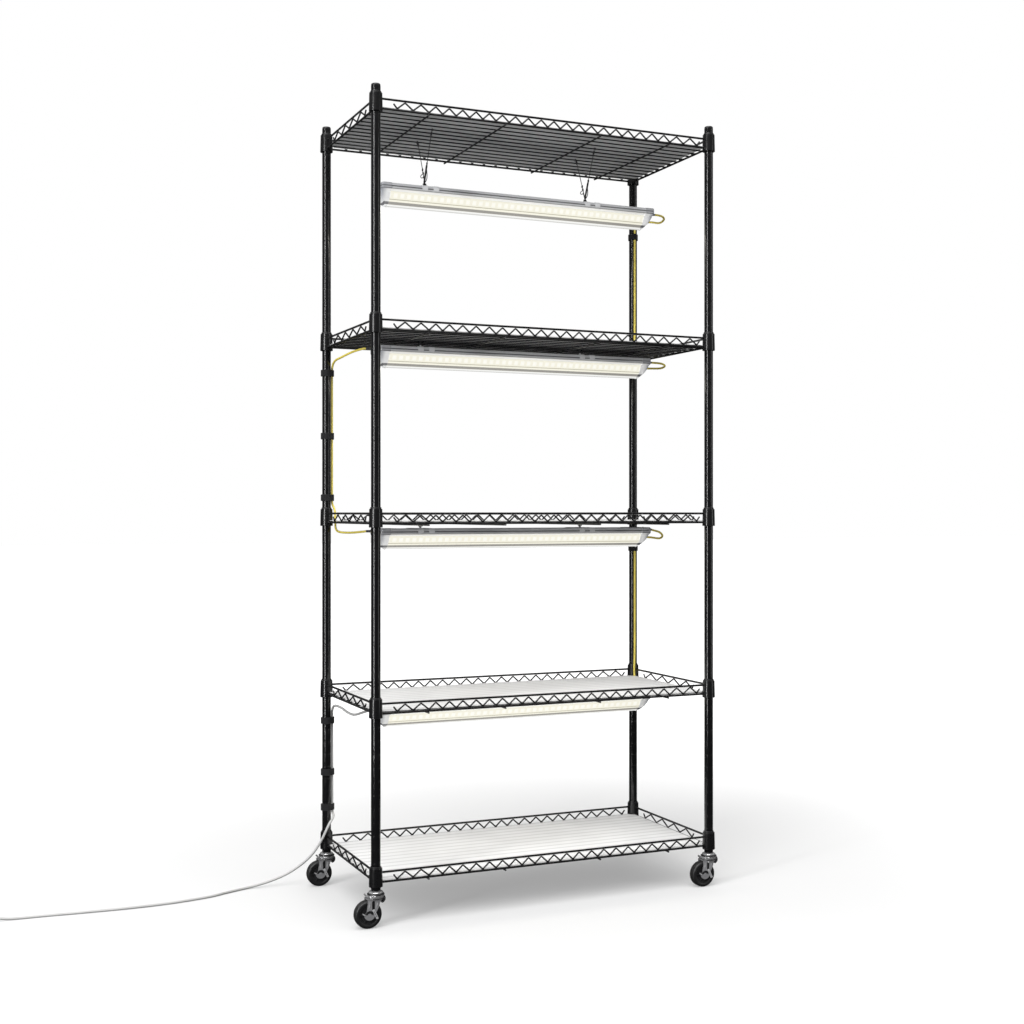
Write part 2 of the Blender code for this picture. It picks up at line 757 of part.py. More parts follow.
def housing_outline():
    """Channel open below, with the strip that carries the LEDs under its roof."""
    half = LIGHT_HALF_WIDTH
    inner = DIFFUSER_HALF_WIDTH - DIFFUSER_WALL
    outer_half = [
        (half - LIGHT_TOP_CHAMFER, 0),
        (half, LIGHT_TOP_CHAMFER),
        (half, LIGHT_CHANNEL_DEPTH),
        (DIFFUSER_HALF_WIDTH, LIGHT_FLANGE_DEPTH),
        (inner, LIGHT_FLANGE_DEPTH),
        (inner, LIGHT_ROOF),
        (LED_CARRIER_HALF_WIDTH, LIGHT_ROOF),
        (LED_CARRIER_HALF_WIDTH, LIGHT_ROOF + LED_CARRIER_THICKNESS),
    ]
    return mirrored([(y, light_height(depth)) for y, depth in outer_half])


def diffuser_bends(inset):
    """Half outline of the diffuser, drawn in by the inset, from its rim to its bottom."""
    height = DIFFUSER_BOTTOM - DIFFUSER_TOP
    bends = []
    for wide, deep in zip(DIFFUSER_WIDTH_SHARES, DIFFUSER_DEPTH_SHARES):
        depth = DIFFUSER_TOP + deep * (height - inset)
        bends.append((wide * DIFFUSER_HALF_WIDTH - inset, light_height(depth)))
    bends.append((0, light_height(DIFFUSER_BOTTOM - inset)))
    return bends


def diffuser_mesh():
    outer = diffuser_bends(0)
    inner = diffuser_bends(DIFFUSER_WALL)
    outline = [*mirrored(outer), *reversed(mirrored(inner))]
    shape = bmesh.new()
    end = LIGHT_LENGTH / 2 - END_CAP_LENGTH - TOUCH_GAP
    prism(shape, outline, "X", -end, end)
    return mesh_of("diffuser", shape)


def end_cap_half():
    """Half outline of an end cap, a little proud of the housing and the diffuser."""
    half = LIGHT_HALF_WIDTH + END_CAP_PROUD
    lower = [(y + END_CAP_PROUD, z) for y, z in diffuser_bends(0)[1:-2]]
    bottom = DIFFUSER_HALF_WIDTH * DIFFUSER_WIDTH_SHARES[-1]
    return [
        (half - LIGHT_TOP_CHAMFER, light_height(-END_CAP_PROUD)),
        (half, light_height(LIGHT_TOP_CHAMFER)),
        (half, light_height(LIGHT_CHANNEL_DEPTH + END_CAP_PROUD)),
        (DIFFUSER_HALF_WIDTH + END_CAP_PROUD, light_height(LIGHT_FLANGE_DEPTH + END_CAP_PROUD)),
        *lower,
        (bottom, light_height(DIFFUSER_BOTTOM + END_CAP_PROUD)),
    ]


def end_cap(shape, side):
    """The cap's end face runs in towards the bottom on a curve, level by level."""
    half = end_cap_half()
    outer_x = LIGHT_LENGTH / 2
    inner_x = outer_x - END_CAP_LENGTH
    straight = light_height(LIGHT_CHANNEL_DEPTH)
    lowest = half[-1][1]
    rings = {}
    for mark in (1, -1):
        inner = []
        outer = []
        for y, z in half:
            share = max(0.0, (straight - z) / (straight - lowest))
            inner.append(shape.verts.new((side * inner_x, mark * y, z)))
            outer.append(shape.verts.new((side * (outer_x - END_CAP_CURVE * share**2), mark * y, z)))
        rings[mark] = (inner, outer)
    right_inner, right_outer = rings[1]
    left_inner, left_outer = rings[-1]
    bridge(shape, [*right_inner, *reversed(left_inner)], [*right_outer, *reversed(left_outer)])
    shape.faces.new([*right_inner, *reversed(left_inner)])
    for number in range(len(half) - 1):
        shape.faces.new(
            (right_outer[number], right_outer[number + 1], left_outer[number + 1], left_outer[number])
        )


def band_outline(proud, depth):
    """A line across the housing's top that stands proud of it and reaches down both sides."""
    half = LIGHT_HALF_WIDTH + proud
    return list(reversed(mirrored([
        (half, light_height(depth)),
        (half, light_height(LIGHT_TOP_CHAMFER)),
        (half - LIGHT_TOP_CHAMFER, light_height(-proud)),
    ])))


def end_caps():
    shape = bmesh.new()
    for side in (-1, 1):
        end_cap(shape, side)
    return mesh_of("end_caps", shape)


def end_cap_lips():
    """A tongue of each end cap that lies on the housing's flat top."""
    shape = bmesh.new()
    half_width = LIGHT_HALF_WIDTH - 2 * LIGHT_TOP_CHAMFER
    outer = LIGHT_LENGTH / 2 - END_CAP_LENGTH + WELD_DEPTH
    inner = LIGHT_LENGTH / 2 - END_CAP_LIP
    for side in (-1, 1):
        near, far = sorted((side * inner, side * outer))
        low = (near, -half_width, light_height(WELD_DEPTH))
        box(shape, low, (far, half_width, light_height(-END_CAP_PROUD)))
    return mesh_of("end_cap_lips", shape)


def clip_lobes(shift):
    """Each clip's two lobes grip the housing over its groove."""
    shape = bmesh.new()
    outline = [*band_outline(CLIP_PROUD, CLIP_REACH), *reversed(band_outline(-WELD_DEPTH, CLIP_REACH))]
    for place_x in CLIP_PLACES_X:
        for side in (-1, 1):
            outer = side * CLIP_LENGTH / 2
            inner = side * (CLIP_LENGTH / 2 - CLIP_LOBE)
            ends = sorted((place_x - shift + outer, place_x - shift + inner))
            prism(shape, outline, "X", *ends)
    return mesh_of("clip_lobes", shape)


def clip_bridges(shift):
    """The bridge between a clip's lobes, which carries the eye plate."""
    shape = bmesh.new()
    half_gap = CLIP_LENGTH / 2 - CLIP_LOBE + WELD_DEPTH
    top = light_height(-CLIP_PROUD)
    for place_x in CLIP_PLACES_X:
        x = place_x - shift
        low = (x - half_gap, -CLIP_BRIDGE_HALF_WIDTH, light_height(2 * WELD_DEPTH))
        box(shape, low, (x + half_gap, CLIP_BRIDGE_HALF_WIDTH, top))
    return mesh_of("clip_bridges", shape)


def eye_plates(shift):
    shape = bmesh.new()
    hole_radius = HANGER_WIRE / 2 + TOUCH_GAP
    plate = arc((0, 0), EYE_RADIUS, 0, HALF_TURN, EYE_PLATE_POINTS)
    foot = light_height(-CLIP_PROUD + WELD_DEPTH)
    plate += [(-EYE_RADIUS, foot), (EYE_RADIUS, foot)]
    reach = 1 / math.cos(math.pi / EYE_SIDES)
    hole = regular((0, 0), hole_radius * reach, EYE_SIDES)
    for place_x in CLIP_PLACES_X:
        x = place_x - shift
        prism(shape, plate, "X", x - EYE_THICKNESS / 2, x + EYE_THICKNESS / 2, holes=[hole])
    return mesh_of("eye_plates", shape)


def housing_mesh(shift):
    """The channel with its end caps and its clips. The clips stay in line when the light shifts."""
    shape = bmesh.new()
    end = LIGHT_LENGTH / 2 - END_CAP_LENGTH + WELD_DEPTH
    prism(shape, housing_outline(), "X", -end, end)
    channel = mesh_of("channel", shape)
    fitted = [end_caps(), end_cap_lips(), clip_lobes(shift), clip_bridges(shift), eye_plates(shift)]
    return combined("light_housing", channel, fitted)


# The hangers, with the rocking axis at their origin

def hook_over(wire_y, wire_z):
    """Bends of a hook over a deck wire, from its near side to the far one, in (y, z)."""
    reach = DECK_HALF + TOUCH_GAP + HANGER_WIRE / 2
    crown = wire_z + reach
    shoulder = crown - reach / 2
    return [
        (wire_y - reach, wire_z),
        (wire_y - reach, shoulder),
        (wire_y - reach / 2, crown),
        (wire_y + reach / 2, crown),
        (wire_y + reach, shoulder),
        (wire_y + reach, wire_z - reach / 2),
    ]


def arch_hanger_mesh(rise):
    """A wire arch whose two feet meet in the eye and whose top hooks over the deck wire."""
    half = HANGER_ARCH_WIDTH / 2 - HANGER_WIRE / 2
    hook = hook_over(0, rise)
    foot = [(TOUCH_GAP / 2, 0, 0), (half, 0, 0)]
    leg = [(half, y, z) for y, z in hook]
    right = [*foot, *leg]
    left = [(-x, y, z) for x, y, z in reversed(right)]
    shape = bmesh.new()
    bent_wire(shape, [*right, *left], HANGER_WIRE / 2, HANGER_SIDES, (0, 1, 1))
    return mesh_of("arch_hanger", shape)


def v_hanger_mesh(rise):
    """Two wire strands that meet in the eye, each hooked over its own deck wire."""
    spread = HANGER_V_WIRES * DECK_PITCH
    half = HANGER_V_STAGGER
    hook = hook_over(spread, rise)
    strand = [(half, y, z) for y, z in hook]
    rear = [(half, 0, 0), *strand]
    front = [(-x, -y, z) for x, y, z in reversed(rear)]
    shape = bmesh.new()
    bent_wire(shape, [*front, *rear], HANGER_WIRE / 2, HANGER_SIDES, (1, 0, 0))
    wire = mesh_of("v_hanger_wire", shape)
    near = Vector((-half, 0, 0))
    hook_y, hook_z = hook[0]
    far = Vector((-half, -hook_y, hook_z))
    run = (far - near).normalized()
    grip = bmesh.new()
    start = near + run * HANGER_GRIP_START
    end = start + run * HANGER_GRIP_LENGTH
    bent_wire(grip, [start, end], HANGER_GRIP_DIAMETER / 2, HANGER_GRIP_SIDES, (1, 0, 0))
    return combined("v_hanger", wire, [mesh_of("grip", grip)])


# The casters, with the swivel axis or the wheel's axle at their origin

def fork_plate():
    """Side view of a fork's cheek in (x, z), from the swivel axis and the floor."""
    crown = 2 * WHEEL_RADIUS + FORK_CROWN + FORK_CLEARANCE
    axle = (-CASTER_TRAIL, WHEEL_RADIUS)
    foot = FORK_FOOT_RADIUS
    front = HEAD_RADIUS - 2 * FORK_WALL
    return [
        (front, crown),
        (-HEAD_RADIUS, crown),
        (-CASTER_TRAIL - front, crown - 2 * FORK_CROWN),
        (axle[0] - foot, axle[1] + foot),
        *arc(axle, foot, HALF_TURN, FULL_TURN, FORK_FOOT_POINTS),
        (front, crown - 2 * FORK_CROWN),
    ]


def fork_mesh():
    """A pressed U section cut to the cheeks' side view, with its swivel head and its axle."""
    crown = 2 * WHEEL_RADIUS + FORK_CROWN + FORK_CLEARANCE
    inside = WHEEL_WIDTH / 2 + FORK_CLEARANCE
    shape = bmesh.new()
    outer_line = [(inside + FORK_WALL, 0), (inside + FORK_WALL, crown)]
    inner_line = [(-inside, crown - FORK_WALL), (-inside, 0)]
    section = [*outer_line, *((-y, z) for y, z in reversed(outer_line))]
    section += [*reversed(inner_line), *((-y, z) for y, z in inner_line)]
    prism(shape, section, "X", -WHEEL_RADIUS - CASTER_TRAIL, HEAD_RADIUS)
    side_view = bmesh.new()
    prism(side_view, fork_plate(), "Y", -WHEEL_WIDTH, WHEEL_WIDTH)
    cheek_shape = mesh_of("side_view", side_view)
    cheeks = combined("fork_cheeks", mesh_of("fork_section", shape), [cheek_shape], "INTERSECT")
    head = bmesh.new()
    top = POST_BOTTOM - TOUCH_GAP
    neck = top - HEAD_NECK_HEIGHT
    low = crown - WELD_DEPTH
    bore = STEM_RADIUS + RUNNING_GAP
    profile = [(HEAD_NECK_RADIUS, top), (HEAD_RADIUS, neck), (HEAD_RADIUS, low), (bore, low), (bore, top)]
    turned(head, profile, HEAD_SIDES, bored=True)
    axle = bmesh.new()
    reach = inside + FORK_WALL + BRAKE_THICKNESS + TOUCH_GAP
    centre = (-CASTER_TRAIL, WHEEL_RADIUS)
    outline = regular(centre, AXLE_RADIUS, AXLE_SIDES)
    prism(axle, outline, "Y", -reach, inside + FORK_WALL + TOUCH_GAP)
    pieces = [mesh_of("fork_head", head), mesh_of("axle", axle)]
    return combined("caster_fork", cheeks, pieces)


def wheel_mesh():
    """A wheel with a dished rim. Its profile is turned round Z and laid on its side."""
    bore = AXLE_RADIUS + RUNNING_GAP
    half = WHEEL_WIDTH / 2
    tread = WHEEL_TREAD_WIDTH / 2
    shoulder = WHEEL_RADIUS - (half - tread)
    upper = [
        (WHEEL_RADIUS, tread),
        (shoulder, half),
        (WHEEL_RIM_RADIUS, half - WHEEL_DISH),
        (bore, half),
    ]
    lower = [(radius, -height) for radius, height in reversed(upper)]
    shape = bmesh.new()
    turned(shape, [*upper, *lower], WHEEL_SIDES, bored=True)
    bmesh.ops.rotate(shape, cent=(0, 0, 0), matrix=Matrix.Rotation(math.pi / 2, 3, "X"), verts=shape.verts)
    return mesh_of("wheel", shape)


def brake_mesh():
    """A half-disc lever on the end of the axle, with a bent tab at each side."""
    near = -(WHEEL_WIDTH / 2 + FORK_CLEARANCE + FORK_WALL + TOUCH_GAP)
    far = near - BRAKE_THICKNESS
    hub = 2 * AXLE_RADIUS
    plate = arc((0, 0), BRAKE_RADIUS, *BRAKE_RIM_ANGLES, BRAKE_RIM_POINTS)
    plate += arc((0, 0), hub, *BRAKE_HUB_ANGLES, BRAKE_HUB_POINTS)
    reach = (AXLE_RADIUS + RUNNING_GAP) / math.cos(math.pi / EYE_SIDES)
    hole = regular((0, 0), reach, EYE_SIDES)
    shape = bmesh.new()
    prism(shape, plate, "Y", far, near, holes=[hole])
    lever = mesh_of("lever", shape)
    tabs = bmesh.new()
    for angle in BRAKE_TAB_ANGLES:
        x = (BRAKE_RADIUS - BRAKE_TAB / 2) * math.cos(math.radians(angle))
        z = (BRAKE_RADIUS - BRAKE_TAB / 2) * math.sin(math.radians(angle))
        half = BRAKE_TAB / 2
        box(tabs, (x - half, far - TOUCH_GAP, z - half / 2), (x + half, far + WELD_DEPTH, z + half / 2))
    return combined("brake_lever", lever, [mesh_of("tabs", tabs)])


# Straps round a post and the cable beside it

def belt_arc(centre, radius, start, end, count):
    """An arc whose straight sides clear the circle."""
    half_step = math.radians(end - start) / (count - 1) / 2
    return arc(centre, radius / math.cos(half_step), start, end, count)


def belt(first, first_radius, second, second_radius):
    """Outline of the belt round two circles."""
    dx = second[0] - first[0]
    dy = second[1] - first[1]
    heading = math.degrees(math.atan2(dy, dx))
    lean = math.degrees(math.acos((first_radius - second_radius) / math.hypot(dx, dy)))
    back = belt_arc(first, first_radius, heading + lean, heading + FULL_TURN - lean, STRAP_BACK_POINTS)
    front = belt_arc(second, second_radius, heading - lean, heading + lean, STRAP_FRONT_POINTS)
    return [*back, *front]


def strap_mesh(cable_offset, cable_diameter):
    """Belt round a post at the origin and the cable at the offset."""
    clear = 2 * TOUCH_GAP
    post = POST_RADIUS / math.cos(math.pi / POST_SIDES) + clear
    held = cable_diameter / 2 + clear
    outlines = []
    for thickness in (0, STRAP_THICKNESS):
        outlines.append(belt((0, 0), post + thickness, cable_offset, held + thickness))
    shape = bmesh.new()
    rings = []
    for outline in outlines:
        for z in (-STRAP_HEIGHT / 2, STRAP_HEIGHT / 2):
            rings.append([shape.verts.new((x, y, z)) for x, y in outline])
    inner_low, inner_high, outer_low, outer_high = rings
    bridge(shape, inner_low, inner_high)
    bridge(shape, inner_high, outer_high)
    bridge(shape, outer_high, outer_low)
    bridge(shape, outer_low, inner_low)
    return mesh_of("strap", shape)


# The controller, its buttons and the plug

def stacked(shape, layers):
    """A closed body from (outline, height) layers, each outline of as many points."""
    rings = []
    for outline, height in layers:
        rings.append([shape.verts.new((x, y, height)) for x, y in outline])
    for lower, upper in zip(rings, rings[1:]):
        bridge(shape, lower, upper)
    shape.faces.new(rings[0])
    shape.faces.new(rings[-1])


def shrunk_stadium(inset):
    width = CONTROLLER_WIDTH - 2 * inset
    length = CONTROLLER_LENGTH - 2 * inset
    return rounded_plate(length, width, width / 2 - TOUCH_GAP, CONTROLLER_END_POINTS)


def ribbed_relief(length, wide, narrow, ribs, start, side):
    """A tapered strain relief along X with ribs, as a turned solid with its wide end at start."""
    profile = []
    for rib in range(ribs):
        for step, groove in ((0, 0), (1, 1)):
            along = (rib + step * RELIEF_RIB_SHARE) / ribs
            radius = wide + (narrow - wide) * along - groove * (wide - narrow) / 2
            profile.append((radius, along * length))
    profile.append((narrow, length))
    shape = bmesh.new()
    turned(shape, list(reversed(profile)), RELIEF_SIDES)
    turn = Matrix.Rotation(side * math.pi / 2, 3, "Y")
    bmesh.ops.rotate(shape, cent=(0, 0, 0), matrix=turn, verts=shape.verts)
    bmesh.ops.translate(shape, vec=start, verts=shape.verts)
    return mesh_of("relief", shape)


def controller_mesh():
    """A flat capsule on the floor with a ribbed relief at each end and two button wells."""
    half = CONTROLLER_HEIGHT / 2
    shape = bmesh.new()
    stacked(shape, [
        (shrunk_stadium(CONTROLLER_EDGE), -half),
        (shrunk_stadium(0), -half + CONTROLLER_EDGE),
        (shrunk_stadium(0), half - CONTROLLER_EDGE),
        (shrunk_stadium(CONTROLLER_EDGE), half),
    ])
    body = mesh_of("controller", shape)
    reliefs = []
    for side in (-1, 1):
        start = (side * (CONTROLLER_LENGTH / 2 - RELIEF_WIDE), 0, 0)
        length = RELIEF_LENGTH + RELIEF_WIDE
        reliefs.append(ribbed_relief(length, RELIEF_WIDE, RELIEF_NARROW, RELIEF_RIBS, start, side))
    whole = combined("controller_body", body, reliefs)
    wells = bmesh.new()
    well = BUTTON_RADIUS + RUNNING_GAP
    for x in (TIMER_BUTTON_X, POWER_BUTTON_X):
        depths = [(well, half + CUT_OVERRUN), (well, half - BUTTON_DEPTH)]
        turned(wells, depths, BUTTON_SIDES, centre=(x, 0))
    inset = bmesh.new()
    edge = CONTROLLER_EDGE + CONTROLLER_INSET
    top = half + CUT_OVERRUN
    stacked(inset, [(shrunk_stadium(edge), half - CONTROLLER_INSET_DEPTH), (shrunk_stadium(edge), top)])
    cut = combined("controller_body", whole, [mesh_of("inset", inset)], "DIFFERENCE")
    return combined("controller_body", cut, [mesh_of("wells", wells)], "DIFFERENCE")


def button_mesh():
    shape = bmesh.new()
    low = -BUTTON_DEPTH + BUTTON_PROUD + TOUCH_GAP
    edge = BUTTON_RADIUS - BUTTON_PROUD / 2
    profile = [(edge, BUTTON_PROUD), (BUTTON_RADIUS, BUTTON_PROUD / 2), (BUTTON_RADIUS, low)]
    turned(shape, profile, BUTTON_SIDES)
    return mesh_of("button", shape)


def plug_mesh():
    """A moulded two-prong plug lying on its side, with its cord entry at x = 0, pointing to +X."""
    half = PLUG_HEIGHT / 2
    start = PLUG_RELIEF_LENGTH
    corner = PLUG_HEIGHT / 4
    outline = rounded_plate(PLUG_LENGTH, PLUG_WIDTH, corner, PLUG_CORNER_POINTS)
    outline = moved(outline, start + PLUG_LENGTH / 2, 0)
    edge = rounded_plate(PLUG_LENGTH - corner, PLUG_WIDTH - corner, corner / 2, PLUG_CORNER_POINTS)
    edge = moved(edge, start + PLUG_LENGTH / 2, 0)
    shape = bmesh.new()
    rise = corner / 2
    stacked(shape, [(edge, -half), (outline, -half + rise), (outline, half - rise), (edge, half)])
    body = mesh_of("plug_body", shape)
    length = PLUG_RELIEF_LENGTH + corner
    relief = ribbed_relief(length, RELIEF_WIDE, RELIEF_NARROW, RELIEF_RIBS, (length, 0, 0), -1)
    prongs = bmesh.new()
    inner = start + PLUG_LENGTH - WELD_DEPTH
    outer = start + PLUG_LENGTH + PRONG_LENGTH
    for side in (-1, 1):
        y = side * PRONG_SPACING / 2
        low = (inner, y - PRONG_THICKNESS / 2, -PRONG_HEIGHT / 2)
        box(prongs, low, (outer, y + PRONG_THICKNESS / 2, PRONG_HEIGHT / 2))
    return combined("plug", body, [relief, mesh_of("prongs", prongs)])


# The coil of spare cord

def coil_points(centre, start, end):
    """In by two turns on the floor, up a layer while the spiral reverses, and out again above."""
    points = []
    count = round(2 * COIL_HALF_TURNS * COIL_LOOP_POINTS)
    for number in range(count + 1):
        turn = number / COIL_LOOP_POINTS
        inward = COIL_HALF_TURNS - abs(turn - COIL_HALF_TURNS)
        radius = COIL_OUTER_RADIUS - COIL_PITCH * inward
        climb = (turn - COIL_TURNS_PER_LAYER) / COIL_CLIMB_TURNS
        climb = min(1.0, max(0.0, climb))
        angle = -math.pi / 2 - 2 * math.pi * turn
        points.append((
            centre[0] + radius * math.cos(angle),
            centre[1] + radius * math.sin(angle),
            CORD_HEIGHT + COIL_PITCH * climb,
        ))
    return [*start, *points, *end]


def least_gap(points, diameter, apart):
    """Smallest gap of a tube to itself, between points at least this far apart along it."""
    points = np.array(points)
    fine = smooth_path(points, diameter / 3)
    along = np.concatenate([[0.0], np.cumsum(np.linalg.norm(np.diff(fine, axis=0), axis=1))])
    distance = np.linalg.norm(fine[:, None] - fine[None], axis=2)
    distance[np.abs(along[:, None] - along[None]) < apart] = np.inf
    return float(distance.min() - diameter)


def build():
    clear_scene()
    black_coat = finish("black_coat", (0.012, 0.012, 0.013), 0.28, 0.3)
    zinc = finish("zinc", (0.55, 0.55, 0.56), 0.3, 1.0)
    black_rubber = finish("black_rubber", (0.02, 0.02, 0.02), 0.6)
    grey_plastic = finish("grey_plastic", (0.2, 0.2, 0.21), 0.45)
    light_grey = finish("light_grey", (0.55, 0.57, 0.6), 0.35)
    warm_diffuser = finish("warm_diffuser", (0.92, 0.9, 0.82), 0.4)
    clear_liner = finish("clear_liner", (0.85, 0.87, 0.88), 0.3)
    black_wire = finish("black_wire", (0.015, 0.015, 0.015), 0.4)
    black_strap = finish("black_strap", (0.012, 0.012, 0.014), 0.7)
    yellow_cable = finish("yellow_cable", (0.78, 0.68, 0.16), 0.45)
    white_cord = finish("white_cord", (0.8, 0.8, 0.8), 0.45)
    white_plastic = finish("white_plastic", (0.85, 0.85, 0.85), 0.35)
    white_button = finish("white_button", (0.82, 0.82, 0.82), 0.3)

    rack = empty("rack", (RACK_SHIFT_X, 0, 0))
    make_frame(rack, black_coat, clear_liner)
    make_casters(rack, zinc, black_rubber, grey_plastic)
    make_lights(rack, light_grey, warm_diffuser, black_wire)
    make_cables(rack, yellow_cable, black_strap, white_cord)
    make_controller(rack, white_plastic, white_button, white_cord)


def make_frame(rack, black_coat, clear_liner):
    post = post_mesh()
    for corner, (x, y) in CORNERS.items():
        place(f"post_{corner}", post, black_coat, rack, (x, y, 0))
    shelf = shelf_mesh()
    liner = liner_mesh()
    hook_lift = HANGER_WIRE + 2 * TOUCH_GAP
    for number, height in enumerate(SHELF_HEIGHTS, 1):
        place(f"shelf_{number}", shelf, black_coat, rack, (0, 0, height))
        lift = hook_lift if number <= len(LIGHT_TOPS) else TOUCH_GAP
        rise = height + DECK_HALF + lift
        place(f"shelf_liner_{number}", liner, clear_liner, rack, (0, LINER_SHIFT_Y, rise))


def make_casters(rack, zinc, black_rubber, grey_plastic):
    fork = fork_mesh()
    wheel = wheel_mesh()
    brake = brake_mesh()
    for corner, (x, y) in CORNERS.items():
        swivel = empty(f"swivel_{corner}", (x, y, 0), rack)
        axle = (-CASTER_TRAIL, 0, WHEEL_RADIUS)
        place(f"caster_fork_{corner}", fork, zinc, swivel)
        place(f"caster_wheel_{corner}", wheel, black_rubber, swivel, axle)
        place(f"caster_brake_{corner}", brake, grey_plastic, swivel, axle)


def make_lights(rack, light_grey, warm_diffuser, black_wire):
    diffuser = diffuser_mesh()
    housings = {}
    for number, (top, shift, wires) in enumerate(zip(LIGHT_TOPS, LIGHT_SHIFTS_X, LIGHT_WIRES), 1):
        # The first light hangs between two deck wires on V hangers, the others right under one
        y = deck_place(wires)
        axis_height = top + EYE_RISE
        if shift not in housings:
            housings[shift] = housing_mesh(shift)
        pivot = empty(f"light_axis_{number}", (shift, y, axis_height), rack)
        place(f"light_housing_{number}", housings[shift], light_grey, pivot)
        place(f"light_diffuser_{number}", diffuser, warm_diffuser, pivot)
        rise = SHELF_HEIGHTS[number - 1] - axis_height
        hanger = v_hanger_mesh(rise) if number == 1 else arch_hanger_mesh(rise)
        for side, x in zip(("left", "right"), CLIP_PLACES_X):
            place(f"hanger_{number}_{side}", hanger, black_wire, rack, (x, y, axis_height))


def socket(number, side):
    """Where a cable meets the end cap of a light."""
    index = number - 1
    x = LIGHT_SHIFTS_X[index] + side * (LIGHT_LENGTH / 2 + TOUCH_GAP)
    return (x, deck_place(LIGHT_WIRES[index]), LIGHT_TOPS[index] - LIGHT_SOCKET_DROP)


def plugged(point, side):
    """The end of the plug on a cable that leaves a light at this point."""
    return (point[0] + side * LINK_PLUG_LENGTH, *point[1:])


def lead(number, side):
    """The stretch of a cable beside a light, from the light outwards."""
    start = Vector(socket(number, side))
    return [tuple(start + Vector(offset)) for offset in SOCKET_LEADS[number, side]]


def link_cable(name, first, route, last, material, rack):
    """A cable from one light's end to the next one's, each given by its number and side."""
    start = socket(*first)
    end = socket(*last)
    knots = [plugged(start, first[1]), *lead(*first), *route]
    knots += [*reversed(lead(*last)), plugged(end, last[1])]
    path = thinned(smooth_path(knots, LINK_CABLE), LINK_CABLE_TOLERANCE)
    points = np.concatenate([[start], path, [end]])
    scales = [1.0] * len(points)
    for number in (0, 1, -1, -2):
        scales[number] = LINK_PLUG_SCALE
    return cable(name, points, LINK_CABLE, 1, material, rack, scales)


def make_cables(rack, yellow_cable, black_strap, white_cord):
    link_cable("link_cable_1_2", (1, 1), LINK_ROUTE_1_2, (2, 1), yellow_cable, rack)
    link_cable("link_cable_2_3", (2, -1), LINK_ROUTE_2_3, (3, -1), yellow_cable, rack)
    link_cable("link_cable_3_4", (3, 1), LINK_ROUTE_3_4, (4, 1), yellow_cable, rack)
    start = socket(4, -1)
    straight = (start[0] - 2 * CORD, *start[1:])
    knots = [straight, *lead(4, -1), *POWER_ROUTE, (*CONTROLLER_END, CONTROLLER_MIDDLE)]
    path = np.concatenate([[start], smooth_path(knots, CORD_POINT_STEP)])
    cable("power_cord", path, CORD, 2, white_cord, rack)
    print(f"power cord: {length_of(path):.3f} m in {len(path)} points")
    beside_left = (POST_RADIUS + CORD / 2 + 2 * TOUCH_GAP, 0)
    corner = CORNERS["rear_left"]
    number = 0
    for heights, diameter in ((STRAPS_ON_LINK, LINK_CABLE), (STRAPS_ON_POWER, CORD)):
        strap = strap_mesh(beside_left, diameter)
        for height in heights:
            number += 1
            place(f"cable_strap_{number}", strap, black_strap, rack, (*corner, height))
    corner = CORNERS["rear_right"]
    in_front = (RIGHT_CABLE_SHIFT_X, -(POST_RADIUS + LINK_CABLE / 2 + 2 * TOUCH_GAP))
    strap = strap_mesh(in_front, LINK_CABLE)
    for height in STRAPS_ON_RIGHT:
        number += 1
        place(f"cable_strap_{number}", strap, black_strap, rack, (*corner, height))


def make_controller(rack, white_plastic, white_button, white_cord):
    entry_x, entry_y = CONTROLLER_END
    half_length = CONTROLLER_LENGTH / 2 + RELIEF_LENGTH
    middle = (entry_x - TOUCH_GAP - half_length, entry_y, CONTROLLER_MIDDLE)
    place("controller_body", controller_mesh(), white_plastic, rack, middle)
    button = button_mesh()
    top = CONTROLLER_HEIGHT / 2
    for name, x in (("timer_button", TIMER_BUTTON_X), ("power_button", POWER_BUTTON_X)):
        place(name, button, white_button, rack, (middle[0] + x, entry_y, middle[2] + top))
    exit_x = middle[0] - half_length - TOUCH_GAP
    centre = (exit_x - COIL_LEAD, entry_y + COIL_OUTER_RADIUS)
    start = [(exit_x, entry_y, CONTROLLER_MIDDLE), (exit_x - CORD, entry_y, CONTROLLER_MIDDLE)]
    for along, down in COIL_LEAD_SHARES:
        drop = down * (CONTROLLER_MIDDLE - CORD_HEIGHT)
        start.append((exit_x - along * COIL_LEAD, entry_y, CONTROLLER_MIDDLE - drop))
    plug_x = centre[0] + PLUG_LEAD
    plug_y = centre[1] + COIL_OUTER_RADIUS
    plug_z = PLUG_HEIGHT / 2
    end = [
        (centre[0] + PLUG_LEAD / 2, plug_y, (CORD_HEIGHT + COIL_PITCH + plug_z) / 2),
        (plug_x - CORD, plug_y, plug_z),
        (plug_x, plug_y, plug_z),
    ]
    points = coil_points(centre, start, end)
    cable("cord_coil", points, CORD, 1, white_cord, rack)
    place("plug", plug_mesh(), white_plastic, rack, (plug_x + TOUCH_GAP, plug_y, plug_z))
    gap = least_gap(points, CORD, 2 * CORD)
    print(f"coil: {length_of(np.array(points)):.3f} m, least gap to itself {gap / MM:.2f} mm")


build()
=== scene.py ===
import math

import bmesh
import bpy
import numpy as np
from mathutils import Matrix, Quaternion, Vector


